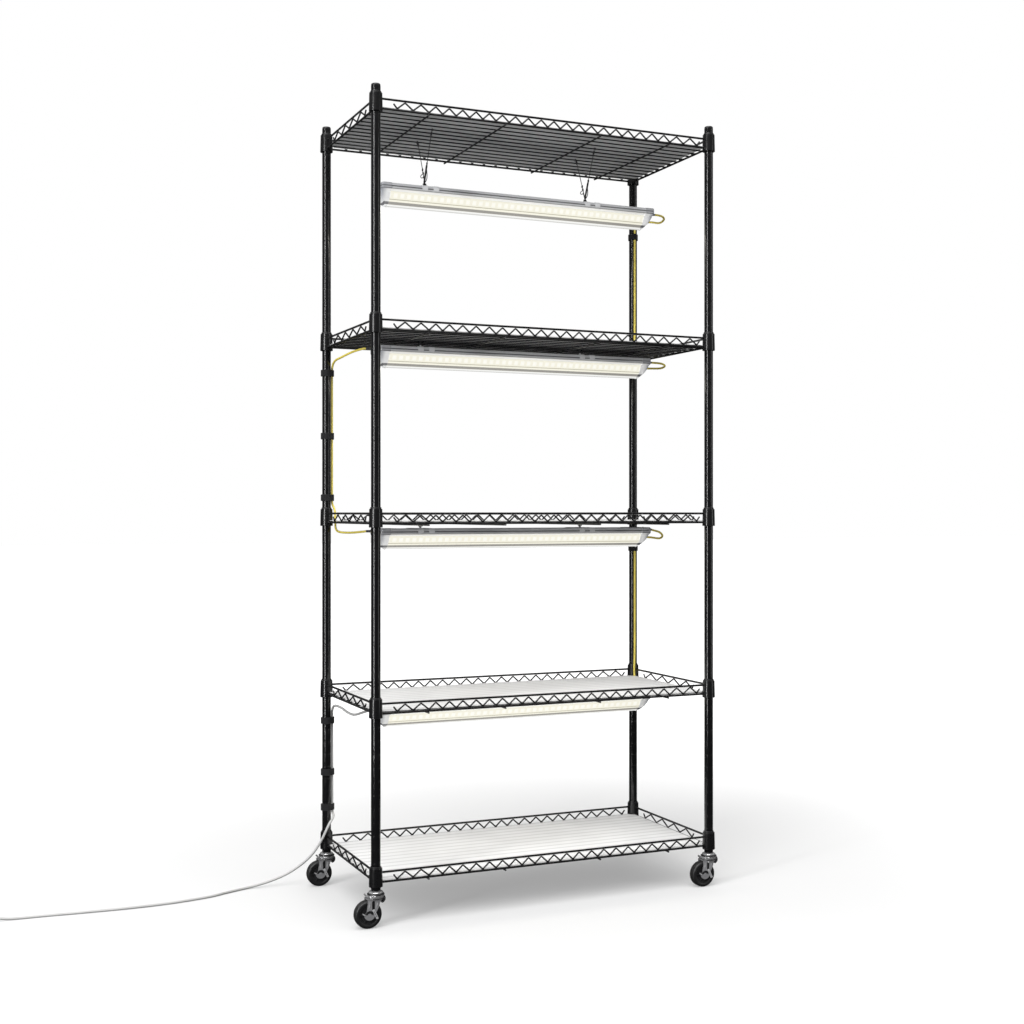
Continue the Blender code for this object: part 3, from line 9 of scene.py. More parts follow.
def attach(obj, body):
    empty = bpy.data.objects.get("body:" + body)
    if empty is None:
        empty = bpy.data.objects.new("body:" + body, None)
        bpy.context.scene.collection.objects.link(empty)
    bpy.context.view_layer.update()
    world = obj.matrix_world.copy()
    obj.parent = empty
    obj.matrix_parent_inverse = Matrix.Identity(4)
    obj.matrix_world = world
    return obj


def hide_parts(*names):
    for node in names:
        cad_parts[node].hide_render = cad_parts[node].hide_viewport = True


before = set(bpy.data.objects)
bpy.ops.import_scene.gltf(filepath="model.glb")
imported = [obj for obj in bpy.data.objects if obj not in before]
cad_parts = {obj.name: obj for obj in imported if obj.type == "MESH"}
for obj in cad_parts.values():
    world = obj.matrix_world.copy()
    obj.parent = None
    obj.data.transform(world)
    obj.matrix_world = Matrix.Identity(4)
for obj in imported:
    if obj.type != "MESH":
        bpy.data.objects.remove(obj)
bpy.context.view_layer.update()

MM = 0.001
MIDDLE_X = 12.75 * MM  # the rack's middle, seen from the origin
SMOOTH_ANGLE = math.radians(38)

# The rack, seen from its own middle
HALF_X = 362.5 * MM
HALF_Y = 162.5 * MM
CORNERS = {
    "front_left": (-HALF_X, -HALF_Y),
    "front_right": (HALF_X, -HALF_Y),
    "rear_left": (-HALF_X, HALF_Y),
    "rear_right": (HALF_X, HALF_Y),
}
POST_RADIUS = 9 * MM
POST_BOTTOM = 69 * MM
POST_TOP = 1576 * MM
POST_SIDES = 40
GROOVE_PITCH = 25.4 * MM
GROOVE_HALF = 0.7 * MM
GROOVE_DEPTH = 0.28 * MM
STEM_RADIUS = 4 * MM
STEM_LENGTH = 9 * MM
SHELF_HEIGHTS = (1531 * MM, 1118 * MM, 754 * MM, 398 * MM, 83 * MM)
RAIL_RISE = 18.3 * MM
RAIL_RADIUS = 2.1 * MM
COLLAR_BOTTOM = -7.5 * MM  # from the lower rail's middle
COLLAR_HEIGHT = 35 * MM
COLLAR_TOP_RADIUS = 12.25 * MM
COLLAR_BOTTOM_RADIUS = 13 * MM
COLLAR_WALL = 1.5 * MM
COLLAR_ROUNDING = 0.7 * MM
SLEEVE_LIP = 3 * MM
SLEEVE_GAP = 0.3 * MM
DECK_WIRES = 12
DECK_PITCH = 25 * MM
DECK_RADIUS = 1.45 * MM
CROSS_RADIUS = 1.7 * MM
CROSS_PLACES = (-258 * MM, -99 * MM, 108 * MM, 265 * MM)
CROSS_POKE = 2 * MM
TRUSS_RADIUS = 1.6 * MM
FRONT_TRUSS = (42 * MM, 29 * MM, 32 * MM, 24)  # both end gaps, the pitch near the ends, low bends
SIDE_TRUSS = (66 * MM, 57 * MM, 50.5 * MM, 5)
TRUSS_TAIL = (7 * MM, 8 * MM)
TRUSS_BEND = 3.0 * MM
WELD_LENGTH = 3.2 * MM
LINER_THICKNESS = 1 * MM
LINER_GAP = 2.6 * MM  # from the middle of the rails to the sheet's edge
LINER_NOTCH = 14.5 * MM  # the round cut at each post
LINER_SHIFT = -4 * MM
LINER_LIFTS = (3.12 * MM, 3.12 * MM, 3.12 * MM, 3.12 * MM, 1.62 * MM)

# The lights, seen from the middle of their top
LIGHT_LENGTH = 610 * MM
LIGHT_HALF_WIDTH = 35.5 * MM
LIGHT_TOPS = (1423 * MM, 1106 * MM, 742 * MM, 386 * MM)
LIGHT_PLACES = ((-6 * MM, -12.5 * MM), (0.0, 12.5 * MM), (0.0, 12.5 * MM), (0.0, 12.5 * MM))
CLIP_PLACES = {"left": -210 * MM, "right": 151 * MM}
CLIP_HALF = 18 * MM
CLIP_GAP = 5.5 * MM  # from the eye's middle to each lobe
CLIP_PROUD = 0.9 * MM
EYE_RISE = 4.6 * MM
CAP_LENGTH = 20 * MM
CAP_LIP = 40 * MM
CAP_CURVE = 16 * MM
CAP_PROUD = 0.6 * MM
CAP_BOTTOM = 42.1 * MM
CAP_MIDDLE = 16 * MM  # the depth about which the cap's rim closes in
CHANNEL_TOP = 11 * MM
DIFFUSER_TOP = 14.9 * MM
DIFFUSER_WALL = 1.4 * MM
LED_PITCH = 14 * MM
HANGER_RADIUS = 0.8 * MM
HANGER_SPREAD = 50 * MM  # from the eye to each deck wire of the top light

# Casters, seen from the swivel's axis on the floor
TRAIL = 16 * MM
WHEEL_RADIUS = 26 * MM
WHEEL_WIDTH = 18 * MM
AXLE_RADIUS = 2.6 * MM
HEAD_BORE = 4.35 * MM  # round the stem
FORK_BACK = -18.9 * MM
FORK_FRONT = 11 * MM
CROWN_TOP = 55.5 * MM
FORK_WALL = 1.8 * MM
FORK_INSIDE = 9.5 * MM
BRAKE_RADIUS = 10.8 * MM
BRAKE_NEAR = -11.6 * MM  # the lever's inner face, from the wheel's middle
BRAKE_THICKNESS = 2 * MM

# Cables
LINK_DIAMETER = 4.4 * MM
CONNECTOR_LENGTH = 19 * MM
SOCKET_DROP = 5 * MM
CORD = 5 * MM
STRAP_HEIGHT = 13.5 * MM
STRAP_THICKNESS = 1.7 * MM

# The camera, fitted to the picture's perspective
CAMERA_PLACE = (-1.1745, -2.6575, 0.7768)
CAMERA_TURN = math.radians(-23.85)
CAMERA_LENS = 49.21
CAMERA_SHIFT = -0.0007


# Shader maths

class Value:
    """A number that varies over a surface. Arithmetic on it adds Math nodes."""

    def __init__(self, finish, socket):
        self.finish = finish
        self.socket = socket

    def joined(self, operation, first, second):
        return self.finish.add("ShaderNodeMath", {"operation": operation}, {0: first, 1: second})

    def __add__(self, other):
        return self.joined("ADD", self, other)

    def __mul__(self, other):
        return self.joined("MULTIPLY", self, other)

    def __sub__(self, other):
        return self.joined("SUBTRACT", self, other)

    def __rsub__(self, other):
        return self.joined("SUBTRACT", other, self)

    def __truediv__(self, other):
        return self.joined("DIVIDE", self, other)

    __radd__ = __add__
    __rmul__ = __mul__

    def fraction(self):
        return self.joined("FRACT", self, 0.0)

    def size(self):
        return self.joined("ABSOLUTE", self, 0.0)

    def rising(self, low, high):
        """0 below low, 1 above high and smooth between."""
        settings = {"interpolation_type": "SMOOTHSTEP"}
        inputs = {"Value": self, "From Min": low, "From Max": high}
        return self.finish.add("ShaderNodeMapRange", settings, inputs)

    def within(self, low, high, soft):
        return self.rising(low - soft, low + soft) * (1 - self.rising(high - soft, high + soft))


class Finish:
    """One material. Its Principled shader's constants are set here, and nodes feed what varies."""

    def __init__(self, name, **constants):
        self.material = bpy.data.materials.new(name)
        self.material.use_nodes = True
        self.tree = self.material.node_tree
        self.shader = self.tree.nodes["Principled BSDF"]
        for words, value in constants.items():
            self.shader.inputs[words.replace("_", " ").title().replace("Ior", "IOR")].default_value = value

    def add(self, kind, settings=None, inputs=None, output=0):
        node = self.tree.nodes.new(kind)
        for name, value in (settings or {}).items():
            setattr(node, name, value)
        for key, value in (inputs or {}).items():
            self.feed(node.inputs[key], value)
        return Value(self, node.outputs[output])

    def feed(self, socket, value):
        if isinstance(value, Value):
            self.tree.links.new(value.socket, socket)
        else:
            socket.default_value = value

    def surface(self, **inputs):
        for words, value in inputs.items():
            self.feed(self.shader.inputs[words.replace("_", " ").title()], value)
        return self

    def place(self):
        return self.add("ShaderNodeTexCoord", output="Object")

    def along(self, axis):
        return self.add("ShaderNodeSeparateXYZ", inputs={0: self.place()}, output=axis)

    def length(self, vector):
        return self.add("ShaderNodeVectorMath", {"operation": "LENGTH"}, {0: vector}, output="Value")

    def mix(self, share, first, second):
        colours = {0: share, 6: (*first, 1.0) if isinstance(first, tuple) else first}
        colours[7] = (*second, 1.0) if isinstance(second, tuple) else second
        return self.add("ShaderNodeMix", {"data_type": "RGBA"}, colours, output=2)

    def noise(self, scale, detail=2.0, stretch=(1.0, 1.0, 1.0)):
        spot = self.add("ShaderNodeMapping", inputs={"Vector": self.place(), "Scale": stretch})
        return self.add("ShaderNodeTexNoise", inputs={"Vector": spot, "Scale": scale, "Detail": detail})

    def bump(self, height, depth):
        inputs = {"Height": height, "Distance": depth, "Strength": 1.0}
        return self.surface(normal=self.add("ShaderNodeBump", inputs=inputs))


# Finishes

def shade(colour, factor):
    return tuple(min(1.0, part * factor) for part in colour)


def worn(name, colour, roughness, grain, depth, spread=0.25, rough_spread=0.06, **constants):
    """A moulded or coated finish: slightly uneven colour and gloss, and a fine grain."""
    finish = Finish(name, **constants)
    cloud = finish.noise(14.0, 4.0)
    fine = finish.noise(grain, 3.0)
    share = cloud.rising(0.3, 0.7) * 0.7 + fine * 0.3
    finish.surface(base_color=finish.mix(share, shade(colour, 1 - spread), shade(colour, 1 + spread)))
    smudge = finish.noise(55.0, 5.0)
    finish.surface(roughness=smudge.rising(0.25, 0.8) * (2 * rough_spread) + (roughness - rough_spread))
    return finish.bump(fine, depth)


def powder_coat(name, roughness):
    """Gloss black powder coat with its faint orange peel and a little dust that dulls it."""
    finish = Finish(name, specular_ior_level=0.4, coat_weight=0.3, coat_roughness=0.07)
    peel = finish.noise(520.0, 2.0)
    dust = finish.noise(38.0, 6.0).rising(0.52, 0.78)
    finish.surface(base_color=finish.mix(dust * 0.5, (0.004, 0.004, 0.0045), (0.011, 0.0108, 0.0105)))
    finish.surface(roughness=dust * 0.14 + peel * 0.06 + (roughness - 0.05))
    return finish.bump(peel, 0.00002)


def zinc_plate(name, colour, roughness, metallic=1.0):
    """Plated and tumbled steel, with cloudy patches and fine drawing marks. Dull plate is less metallic."""
    finish = Finish(name, metallic=metallic)
    patch = finish.noise(90.0, 4.0)
    marks = finish.noise(420.0, 3.0, (0.25, 1.0, 3.0))
    share = patch.rising(0.3, 0.75)
    finish.surface(base_color=finish.mix(share, shade(colour, 0.8), shade(colour, 1.08)))
    finish.surface(roughness=marks * 0.16 + share * 0.08 + (roughness - 0.1))
    return finish.bump(marks * 0.6 + patch * 0.4, 0.00004)


def tyre_rubber():
    """Hard black tread, scuffed grey where it rolls."""
    finish = Finish("tyre_rubber")
    radius = finish.length(flattened(finish))
    scuff = finish.noise(260.0, 5.0, (1.0, 4.0, 1.0)).rising(0.42, 0.75)
    rolled = radius.rising(WHEEL_RADIUS - 1.6 * MM, WHEEL_RADIUS - 0.2 * MM) * scuff
    finish.surface(base_color=finish.mix(rolled * 0.7, (0.010, 0.010, 0.0105), (0.075, 0.073, 0.07)))
    finish.surface(roughness=scuff * 0.2 + 0.36)
    return finish.bump(finish.noise(900.0, 2.0), 0.00003)


def flattened(finish):
    """The place on a wheel with its width left out."""
    inputs = {0: finish.place(), 1: (1.0, 0.0, 1.0)}
    return finish.add("ShaderNodeVectorMath", {"operation": "MULTIPLY"}, inputs)


def drawn_channel():
    """Anodised grey channel with lengthwise drawing lines, painted shade in its side groove, a painted shadow
    line at its lower edge and a painted glow of spill light along its foot.
    """
    finish = Finish("drawn_channel", metallic=0.15, specular_ior_level=0.5, emission_strength=1.0)
    lines = finish.noise(700.0, 3.0, (0.01, 1.0, 1.0))
    cloud = finish.noise(9.0, 3.0, (0.4, 1.0, 1.0)).rising(0.3, 0.7)
    depth = finish.along("Z") * -1.0
    # groove: the side groove, darkened in the base colour as painted shade
    groove = depth.within(5.3 * MM, 7.3 * MM, 0.25 * MM)
    # edge: a painted shadow line where the channel's side meets its lower lip
    edge = depth.within(10.3 * MM, 11.7 * MM, 0.3 * MM)
    plain = finish.mix(lines * 0.5 + cloud * 0.4, (0.62, 0.63, 0.65), (0.78, 0.785, 0.80))
    finish.surface(base_color=finish.mix(groove * 0.9 + edge * 0.65, plain, (0.13, 0.13, 0.135)))
    # The channel's foot glows: painted light spilled from the lit cover, though the channel itself is no
    # lamp.
    painted_spill_light = depth.rising(8.2 * MM, 13.5 * MM) * (1 - depth.rising(14.45 * MM, 14.55 * MM)) * (1 - edge * 0.8)
    finish.surface(emission_color=finish.mix(painted_spill_light, (0.0, 0.0, 0.0), (0.36, 0.355, 0.33)))
    finish.surface(roughness=lines * 0.15 + groove * 0.2 + 0.26)
    return finish.bump(lines, 0.00003)


def lit_diffuser():
    """Milky cover lit from inside: a warm window with its row of LEDs, a bead line and a grey foot."""
    finish = Finish("lit_diffuser", emission_strength=1.0, subsurface_weight=0.0)
    depth = finish.along("Z") * -1.0
    place_x = finish.along("X")
    cell = ((place_x / LED_PITCH).fraction() - 0.5).size()
    led = (1 - cell.rising(0.2, 0.36)) * depth.within(18.6 * MM, 26.2 * MM, 1.2 * MM)
    line = depth.within(28.9 * MM, 30.1 * MM, 0.25 * MM)
    foot = depth.within(33.2 * MM, 37.6 * MM, 0.3 * MM)
    strip = depth.rising(37.6 * MM, 38.2 * MM)
    haze = finish.noise(60.0, 3.0)
    glow = finish.mix(led, (0.87, 0.85, 0.73), (0.97, 0.955, 0.88))
    glow = finish.mix(haze.rising(0.35, 0.7) * 0.15, glow, (0.80, 0.77, 0.64))
    glow = finish.mix(line, glow, (0.40, 0.38, 0.28))
    glow = finish.mix(foot, glow, (0.27, 0.26, 0.24))
    glow = finish.mix(strip, glow, (0.84, 0.84, 0.83))
    glow = finish.mix(depth.rising(40.1 * MM, 40.5 * MM), glow, (0.60, 0.60, 0.58))
    finish.surface(emission_color=glow)
    finish.surface(base_color=finish.mix(foot + line, (0.07, 0.068, 0.06), (0.05, 0.048, 0.042)))
    finish.surface(roughness=haze * 0.12 + 0.22)
    return finish.bump(finish.noise(800.0, 2.0, (0.02, 1.0, 1.0)), 0.00002)


def clear_cap():
    """Smoky translucent end cap with painted light: lighter towards the lit cover, painted shade towards its
    outer end, and the channel's painted shade lines carried across it.
    """
    finish = Finish("clear_cap", coat_weight=0.6, coat_roughness=0.06, emission_strength=0.35, ior=1.49)
    # reach rises towards the cap's outer end, where the tone darkens as painted shade and the painted glow
    # fades
    reach = finish.along("X").size().rising(LIGHT_LENGTH / 2 - 0.7 * CAP_LENGTH, LIGHT_LENGTH / 2)
    drop = finish.along("Z") * -1.0
    depth = drop.rising(6 * MM, 34 * MM)
    foot = drop.within(33.4 * MM, 37.8 * MM, 0.6 * MM)
    # lines carry the channel's painted groove shade and painted shadow line onto the cap
    lines = drop.within(5.3 * MM, 7.3 * MM, 0.3 * MM) + drop.within(10.4 * MM, 11.8 * MM, 0.3 * MM)
    # upper is the cap beside the channel, kept darker and without the painted glow
    upper = 1 - drop.rising(11.0 * MM, 13.0 * MM)
    cloud = finish.noise(120.0, 3.0)
    tone = finish.mix(reach * 0.8 + cloud * 0.15, (0.70, 0.71, 0.74), (0.34, 0.36, 0.41))
    body = finish.mix(depth * 0.3, tone, (0.66, 0.67, 0.68))
    body = finish.mix(upper * 0.7, body, (0.38, 0.385, 0.40))
    finish.surface(base_color=finish.mix(foot * 0.9 + lines * 0.9, body, (0.11, 0.11, 0.12)))
    # The cap's emission is a painted glow for the LEDs' light shining through it, fading towards the outer
    # end.
    painted_inner_glow = finish.mix(reach, (0.9, 0.89, 0.84), (0.05, 0.053, 0.06))
    painted_inner_glow = finish.mix(upper, painted_inner_glow, (0.04, 0.04, 0.042))
    finish.surface(emission_color=finish.mix(foot + lines, painted_inner_glow, (0.05, 0.05, 0.05)))
    finish.surface(roughness=cloud * 0.12 + 0.12)
    return finish.bump(finish.noise(300.0, 2.0), 0.00003)


def liner_sheet(name, painted_light_through, light_matched_whiteness):
    """Frosted sheet with the wires below painted on it as soft dark stripes, a painted glow for light let
    through it, and a whiteness set for how it is lit.
    """
    finish = Finish(name, specular_ior_level=0.35, emission_strength=painted_light_through)
    # The emission is a painted glow standing for light coming through the sheet from above.
    finish.shader.inputs["Emission Color"].default_value = (0.95, 0.98, 1.0, 1.0)
    cloud = finish.noise(7.0, 4.0)
    frost = finish.noise(1400.0, 2.0)
    wave = (finish.along("Y") / DECK_PITCH).fraction() - 0.5
    # The stripes are painted: the dark deck wires under the sheet, seen through it, and their shade.
    painted_wire_stripe = 1 - wave.size().rising(0.05, 0.2)
    white = (light_matched_whiteness, light_matched_whiteness, light_matched_whiteness)
    tone = finish.mix(cloud.rising(0.3, 0.7), shade(white, 0.95), shade(white, 1.04))
    finish.surface(base_color=finish.mix(painted_wire_stripe * 0.42, tone, shade(white, 0.5)))
    finish.surface(alpha=cloud * 0.05 + 0.88)
    finish.surface(roughness=frost * 0.2 + 0.36)
    return finish.bump(frost, 0.00004)


def strap_weave():
    """Hook and loop strap: a close black nap with ribs across it."""
    finish = Finish("strap_weave", sheen_weight=0.08, specular_ior_level=0.2)
    rib = (finish.along("Z") / (1.1 * MM)).fraction() - 0.5
    nap = finish.noise(1500.0, 4.0)
    share = rib.size() * 0.8 + nap * 0.6
    finish.surface(base_color=finish.mix(share, (0.004, 0.004, 0.005), (0.018, 0.018, 0.020)))
    finish.surface(roughness=nap * 0.2 + 0.62)
    return finish.bump(share, 0.0002)


def jacket(name, colour, roughness=0.4):
    """Soft cable jacket with a fine extruded grain and a few scuffs."""
    finish = Finish(name, subsurface_weight=0.0, specular_ior_level=0.45)
    grain = finish.noise(900.0, 3.0)
    cloud = finish.noise(24.0, 4.0).rising(0.3, 0.75)
    scuff = finish.noise(210.0, 6.0).rising(0.66, 0.8)
    tone = finish.mix(cloud * 0.6 + grain * 0.2, shade(colour, 0.88), shade(colour, 1.06))
    finish.surface(base_color=finish.mix(scuff * 0.25, tone, shade(colour, 0.6)))
    finish.surface(roughness=grain * 0.12 + cloud * 0.08 + (roughness - 0.08))
    return finish.bump(grain, 0.00003)


def floor_paint():
    """Matt white floor with a painted glow that grows with distance from the rack, so that it stays as bright
    as the backdrop towards the horizon.
    """
    finish = Finish("floor_paint", specular_ior_level=0.1, emission_strength=1.0)
    away = finish.length(finish.place())
    # The emission is a painted glow, weaker near the rack and full far from it.
    finish.surface(emission_color=finish.mix(away.rising(0.6, 2.4), (0.29, 0.29, 0.29), (0.8, 0.8, 0.8)))
    cloud = finish.noise(1.3, 3.0)
    finish.surface(base_color=finish.mix(cloud, (0.43, 0.43, 0.43), (0.445, 0.445, 0.445)))
    finish.surface(roughness=cloud * 0.1 + 0.6)
    return finish.bump(finish.noise(400.0, 2.0), 0.00002)


# Mesh forms. Each adds to a bmesh and returns its new points

def in_mm(*points):
    """Points typed in millimetres."""
    return [tuple(part * MM for part in point) for point in points]


def ring_of(shape, points):
    return [shape.verts.new(point) for point in points]


def skin(shape, rings, closed=False, slot=0, capped=True):
    """Faces from ring to ring. A closed skin also joins the last ring to the first."""
    pairs = list(zip(rings, rings[1:]))
    if closed:
        pairs.append((rings[-1], rings[0]))
    for first, second in pairs:
        for number, corner in enumerate(first):
            after = (number + 1) % len(first)
            face = shape.faces.new((corner, first[after], second[after], second[number]))
            face.material_index = slot
    if capped and not closed:
        for ring in (rings[0], rings[-1]):
            shape.faces.new(ring).material_index = slot
    return [point for ring in rings for point in ring]


def lathe(shape, profile, sides, centre=(0.0, 0.0), bored=False, slot=0):
    """(radius, height) points turned round an upright axis."""
    rings = []
    for radius, height in profile:
        ring = []
        for number in range(sides):
            angle = 2 * math.pi * number / sides
            ring.append((centre[0] + radius * math.cos(angle), centre[1] + radius * math.sin(angle), height))
        rings.append(ring_of(shape, ring))
    return skin(shape, rings, closed=bored, slot=slot)


def sweep(shape, points, radius, sides=12, slot=0, ease=0.35):
    """A round wire through the points, its ends slightly rounded."""
    points = [Vector(point) for point in points]
    radii = list(radius) if hasattr(radius, "__len__") else [radius] * len(points)
    for end, beside in ((0, 1), (-1, -2)):
        inward = points[beside] - points[end]
        step = min(ease * radii[end], inward.length / 3)
        at = 1 if end == 0 else len(points) - 1
        points.insert(at, points[end] + inward.normalized() * step)
        radii.insert(at, radii[end])
        radii[end] = radii[end] * (1 - ease)
    runs = []
    for number in range(len(points)):
        before = points[max(number - 1, 0)]
        after = points[min(number + 1, len(points) - 1)]
        runs.append((after - before).normalized())
    across = runs[0].orthogonal().normalized()
    rings = []
    for number, point in enumerate(points):
        if number:
            across = runs[number - 1].rotation_difference(runs[number]) @ across
        ring = []
        for side in range(sides):
            spin = Quaternion(runs[number], 2 * math.pi * side / sides)
            ring.append(point + spin @ across * radii[number])
        rings.append(ring_of(shape, ring))
    return skin(shape, rings, slot=slot)


def on_axis(axis, station, point):
    a, b = point
    return {"X": (station, a, b), "Y": (a, station, b), "Z": (a, b, station)}[axis]


def ring_at(shape, axis, station, points):
    return ring_of(shape, [on_axis(axis, station, point) for point in points])


def bar(shape, outline, axis, start, end, slot=0):
    """An outline drawn out along an axis. Its two numbers are the other two axes."""
    rings = [ring_at(shape, axis, station, outline) for station in (start, end)]
    return skin(shape, rings, slot=slot)


def pierced(shape, outline, hole, axis, start, end, slot=0):
    """A plate of this outline with a hole through it."""
    pairs = []
    for station in (start, end):
        rings = [ring_at(shape, axis, station, points) for points in (outline, hole)]
        edges = []
        for ring in rings:
            for number, corner in enumerate(ring):
                edges.append(shape.edges.new((corner, ring[(number + 1) % len(ring)])))
        for face in bmesh.ops.triangle_fill(shape, edges=edges, use_beauty=True)["geom"]:
            if isinstance(face, bmesh.types.BMFace):
                face.material_index = slot
        pairs.append(rings)
    for first, second in zip(*pairs):
        skin(shape, [first, second], slot=slot, capped=False)


def block(shape, low, high, slot=0):
    outline = [(low[0], low[1]), (high[0], low[1]), (high[0], high[1]), (low[0], high[1])]
    return bar(shape, outline, "Z", low[2], high[2], slot)


def softened(shape, width, steps=2, least=math.radians(28)):
    """Rounds every edge sharper than the least angle."""
    bmesh.ops.recalc_face_normals(shape, faces=shape.faces)
    edges = [edge for edge in shape.edges if len(edge.link_faces) == 2 and edge.calc_face_angle() > least]
    bmesh.ops.bevel(
        shape, geom=edges, offset=width, segments=steps, profile=0.5, affect="EDGES", clamp_overlap=True
    )
    return shape


def added(shape, other):
    """Moves another bmesh's faces into this one."""
    carrier = bpy.data.meshes.new("carrier")
    other.to_mesh(carrier)
    other.free()
    shape.from_mesh(carrier)
    bpy.data.meshes.remove(carrier)
    return shape


def soft_bar(shape, ease, *form, slot=0):
    """A bar with rounded edges."""
    part = bmesh.new()
    bar(part, *form, slot=slot)
    added(shape, softened(part, ease))


def soft_block(shape, ease, low, high, slot=0):
    """A block with rounded edges."""
    part = bmesh.new()
    block(part, low, high, slot)
    added(shape, softened(part, ease))


def turned_to(shape, points, matrix):
    bmesh.ops.transform(shape, matrix=matrix, verts=points)


def laid(place, axis, side=1):
    """Lays an upright form down at this place, a quarter turn about the axis."""
    return Matrix.Translation(place) @ Matrix.Rotation(side * math.pi / 2, 4, axis)


def arc(centre, radius, start, end, count):
    """Points along an arc, angles in degrees."""
    points = []
    for number in range(count):
        angle = math.radians(start + (end - start) * number / (count - 1))
        points.append((centre[0] + radius * math.cos(angle), centre[1] + radius * math.sin(angle)))
    return points


def mirrored(half):
    return [*half, *((-a, b) for a, b in reversed(half) if a)]


def rounded_plate(length, width, corner, count):
    half_x = length / 2 - corner
    half_y = width / 2 - corner
    outline = []
    for quarter, (x, y) in enumerate(((1, 1), (-1, 1), (-1, -1), (1, -1))):
        outline += arc((x * half_x, y * half_y), corner, quarter * 90, quarter * 90 + 90, count)
    return outline


def eased(points, reach, steps):
    """The points with each inner corner turned into a curve that starts this far before it."""
    points = [Vector(point) for point in points]
    path = [points[0]]
    for before, corner, after in zip(points, points[1:], points[2:]):
        back = before - corner
        on = after - corner
        first = corner + back.normalized() * min(reach, back.length / 2)
        last = corner + on.normalized() * min(reach, on.length / 2)
        for step in range(steps + 1):
            share = step / steps
            path.append(first * (1 - share) ** 2 + corner * 2 * share * (1 - share) + last * share**2)
    return [*path, points[-1]]


def smooth_path(points, step):
    """Points a step apart on one smooth curve through the route's own points."""
    knots = np.array(points)
    knots = np.concatenate([2 * knots[:1] - knots[1:2], knots, 2 * knots[-1:] - knots[-2:-1]])
    share = np.linspace(0, 1, 24, endpoint=False)[:, None]
    fine = []
    for a, b, c, d in zip(knots, knots[1:], knots[2:], knots[3:]):
        square = (2 * a - 5 * b + 4 * c - d) * share**2
        cubic = (3 * b - a - 3 * c + d) * share**3
        fine.append(b + ((c - a) * share + square + cubic) / 2)
    fine = np.concatenate([*fine, knots[-2:-1]])
    along = np.concatenate([[0.0], np.cumsum(np.linalg.norm(np.diff(fine, axis=0), axis=1))])
    even = np.linspace(0, along[-1], max(2, round(along[-1] / step) + 1))
    return np.stack([np.interp(even, along, fine[:, k]) for k in range(3)], axis=1)


def mesh_of(name, shape, *finishes):
    bmesh.ops.recalc_face_normals(shape, faces=shape.faces)
    mesh = bpy.data.meshes.new(name)
    shape.to_mesh(mesh)
    shape.free()
    mesh.shade_smooth()
    mesh.set_sharp_from_angle(angle=SMOOTH_ANGLE)
    for finish in finishes:
        mesh.materials.append(finish.material)
    return mesh


def piece(name, data, body, stands_for=(), at=(0.0, 0.0, 0.0)):
    """A finer piece in its place, riding on a body of the frame. Places are from the rack's middle."""
    obj = bpy.data.objects.new(name, data)
    obj.location = (at[0] + MIDDLE_X, at[1], at[2])
    bpy.context.collection.objects.link(obj)
    if obj.type == "MESH":
        even = obj.modifiers.new("even_shading", "WEIGHTED_NORMAL")
        even.keep_sharp = True
    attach(obj, body)
    if stands_for:
        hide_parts(*stands_for)
    return obj


# The studio

SKY_LIGHT = 1.0
SKY_MIRRORED = 0.25
SKY_TONES = ((0.42, 0.16), (0.55, 0.5), (0.85, 1.0))  # from straight down at 0 to straight up at 1
KEY_LIGHT = 1.6
KEY_SPREAD = 40  # degrees
LAMP_GLOW = 0.45  # watts, below each light bar
SOFT_BOXES = (
    ("strip_left", (-2.9, -1.45, 1.1), (0.0, 0.0, 0.9), (0.25, 2.6), 62.0),
    ("box_top", (-0.4, -0.6, 3.4), (0.0, 0.0, 0.6), (2.2, 1.6), 40.0),
    ("strip_right", (2.6, -2.4, 1.2), (0.2, 0.0, 0.8), (0.4, 2.4), 12.0),
)


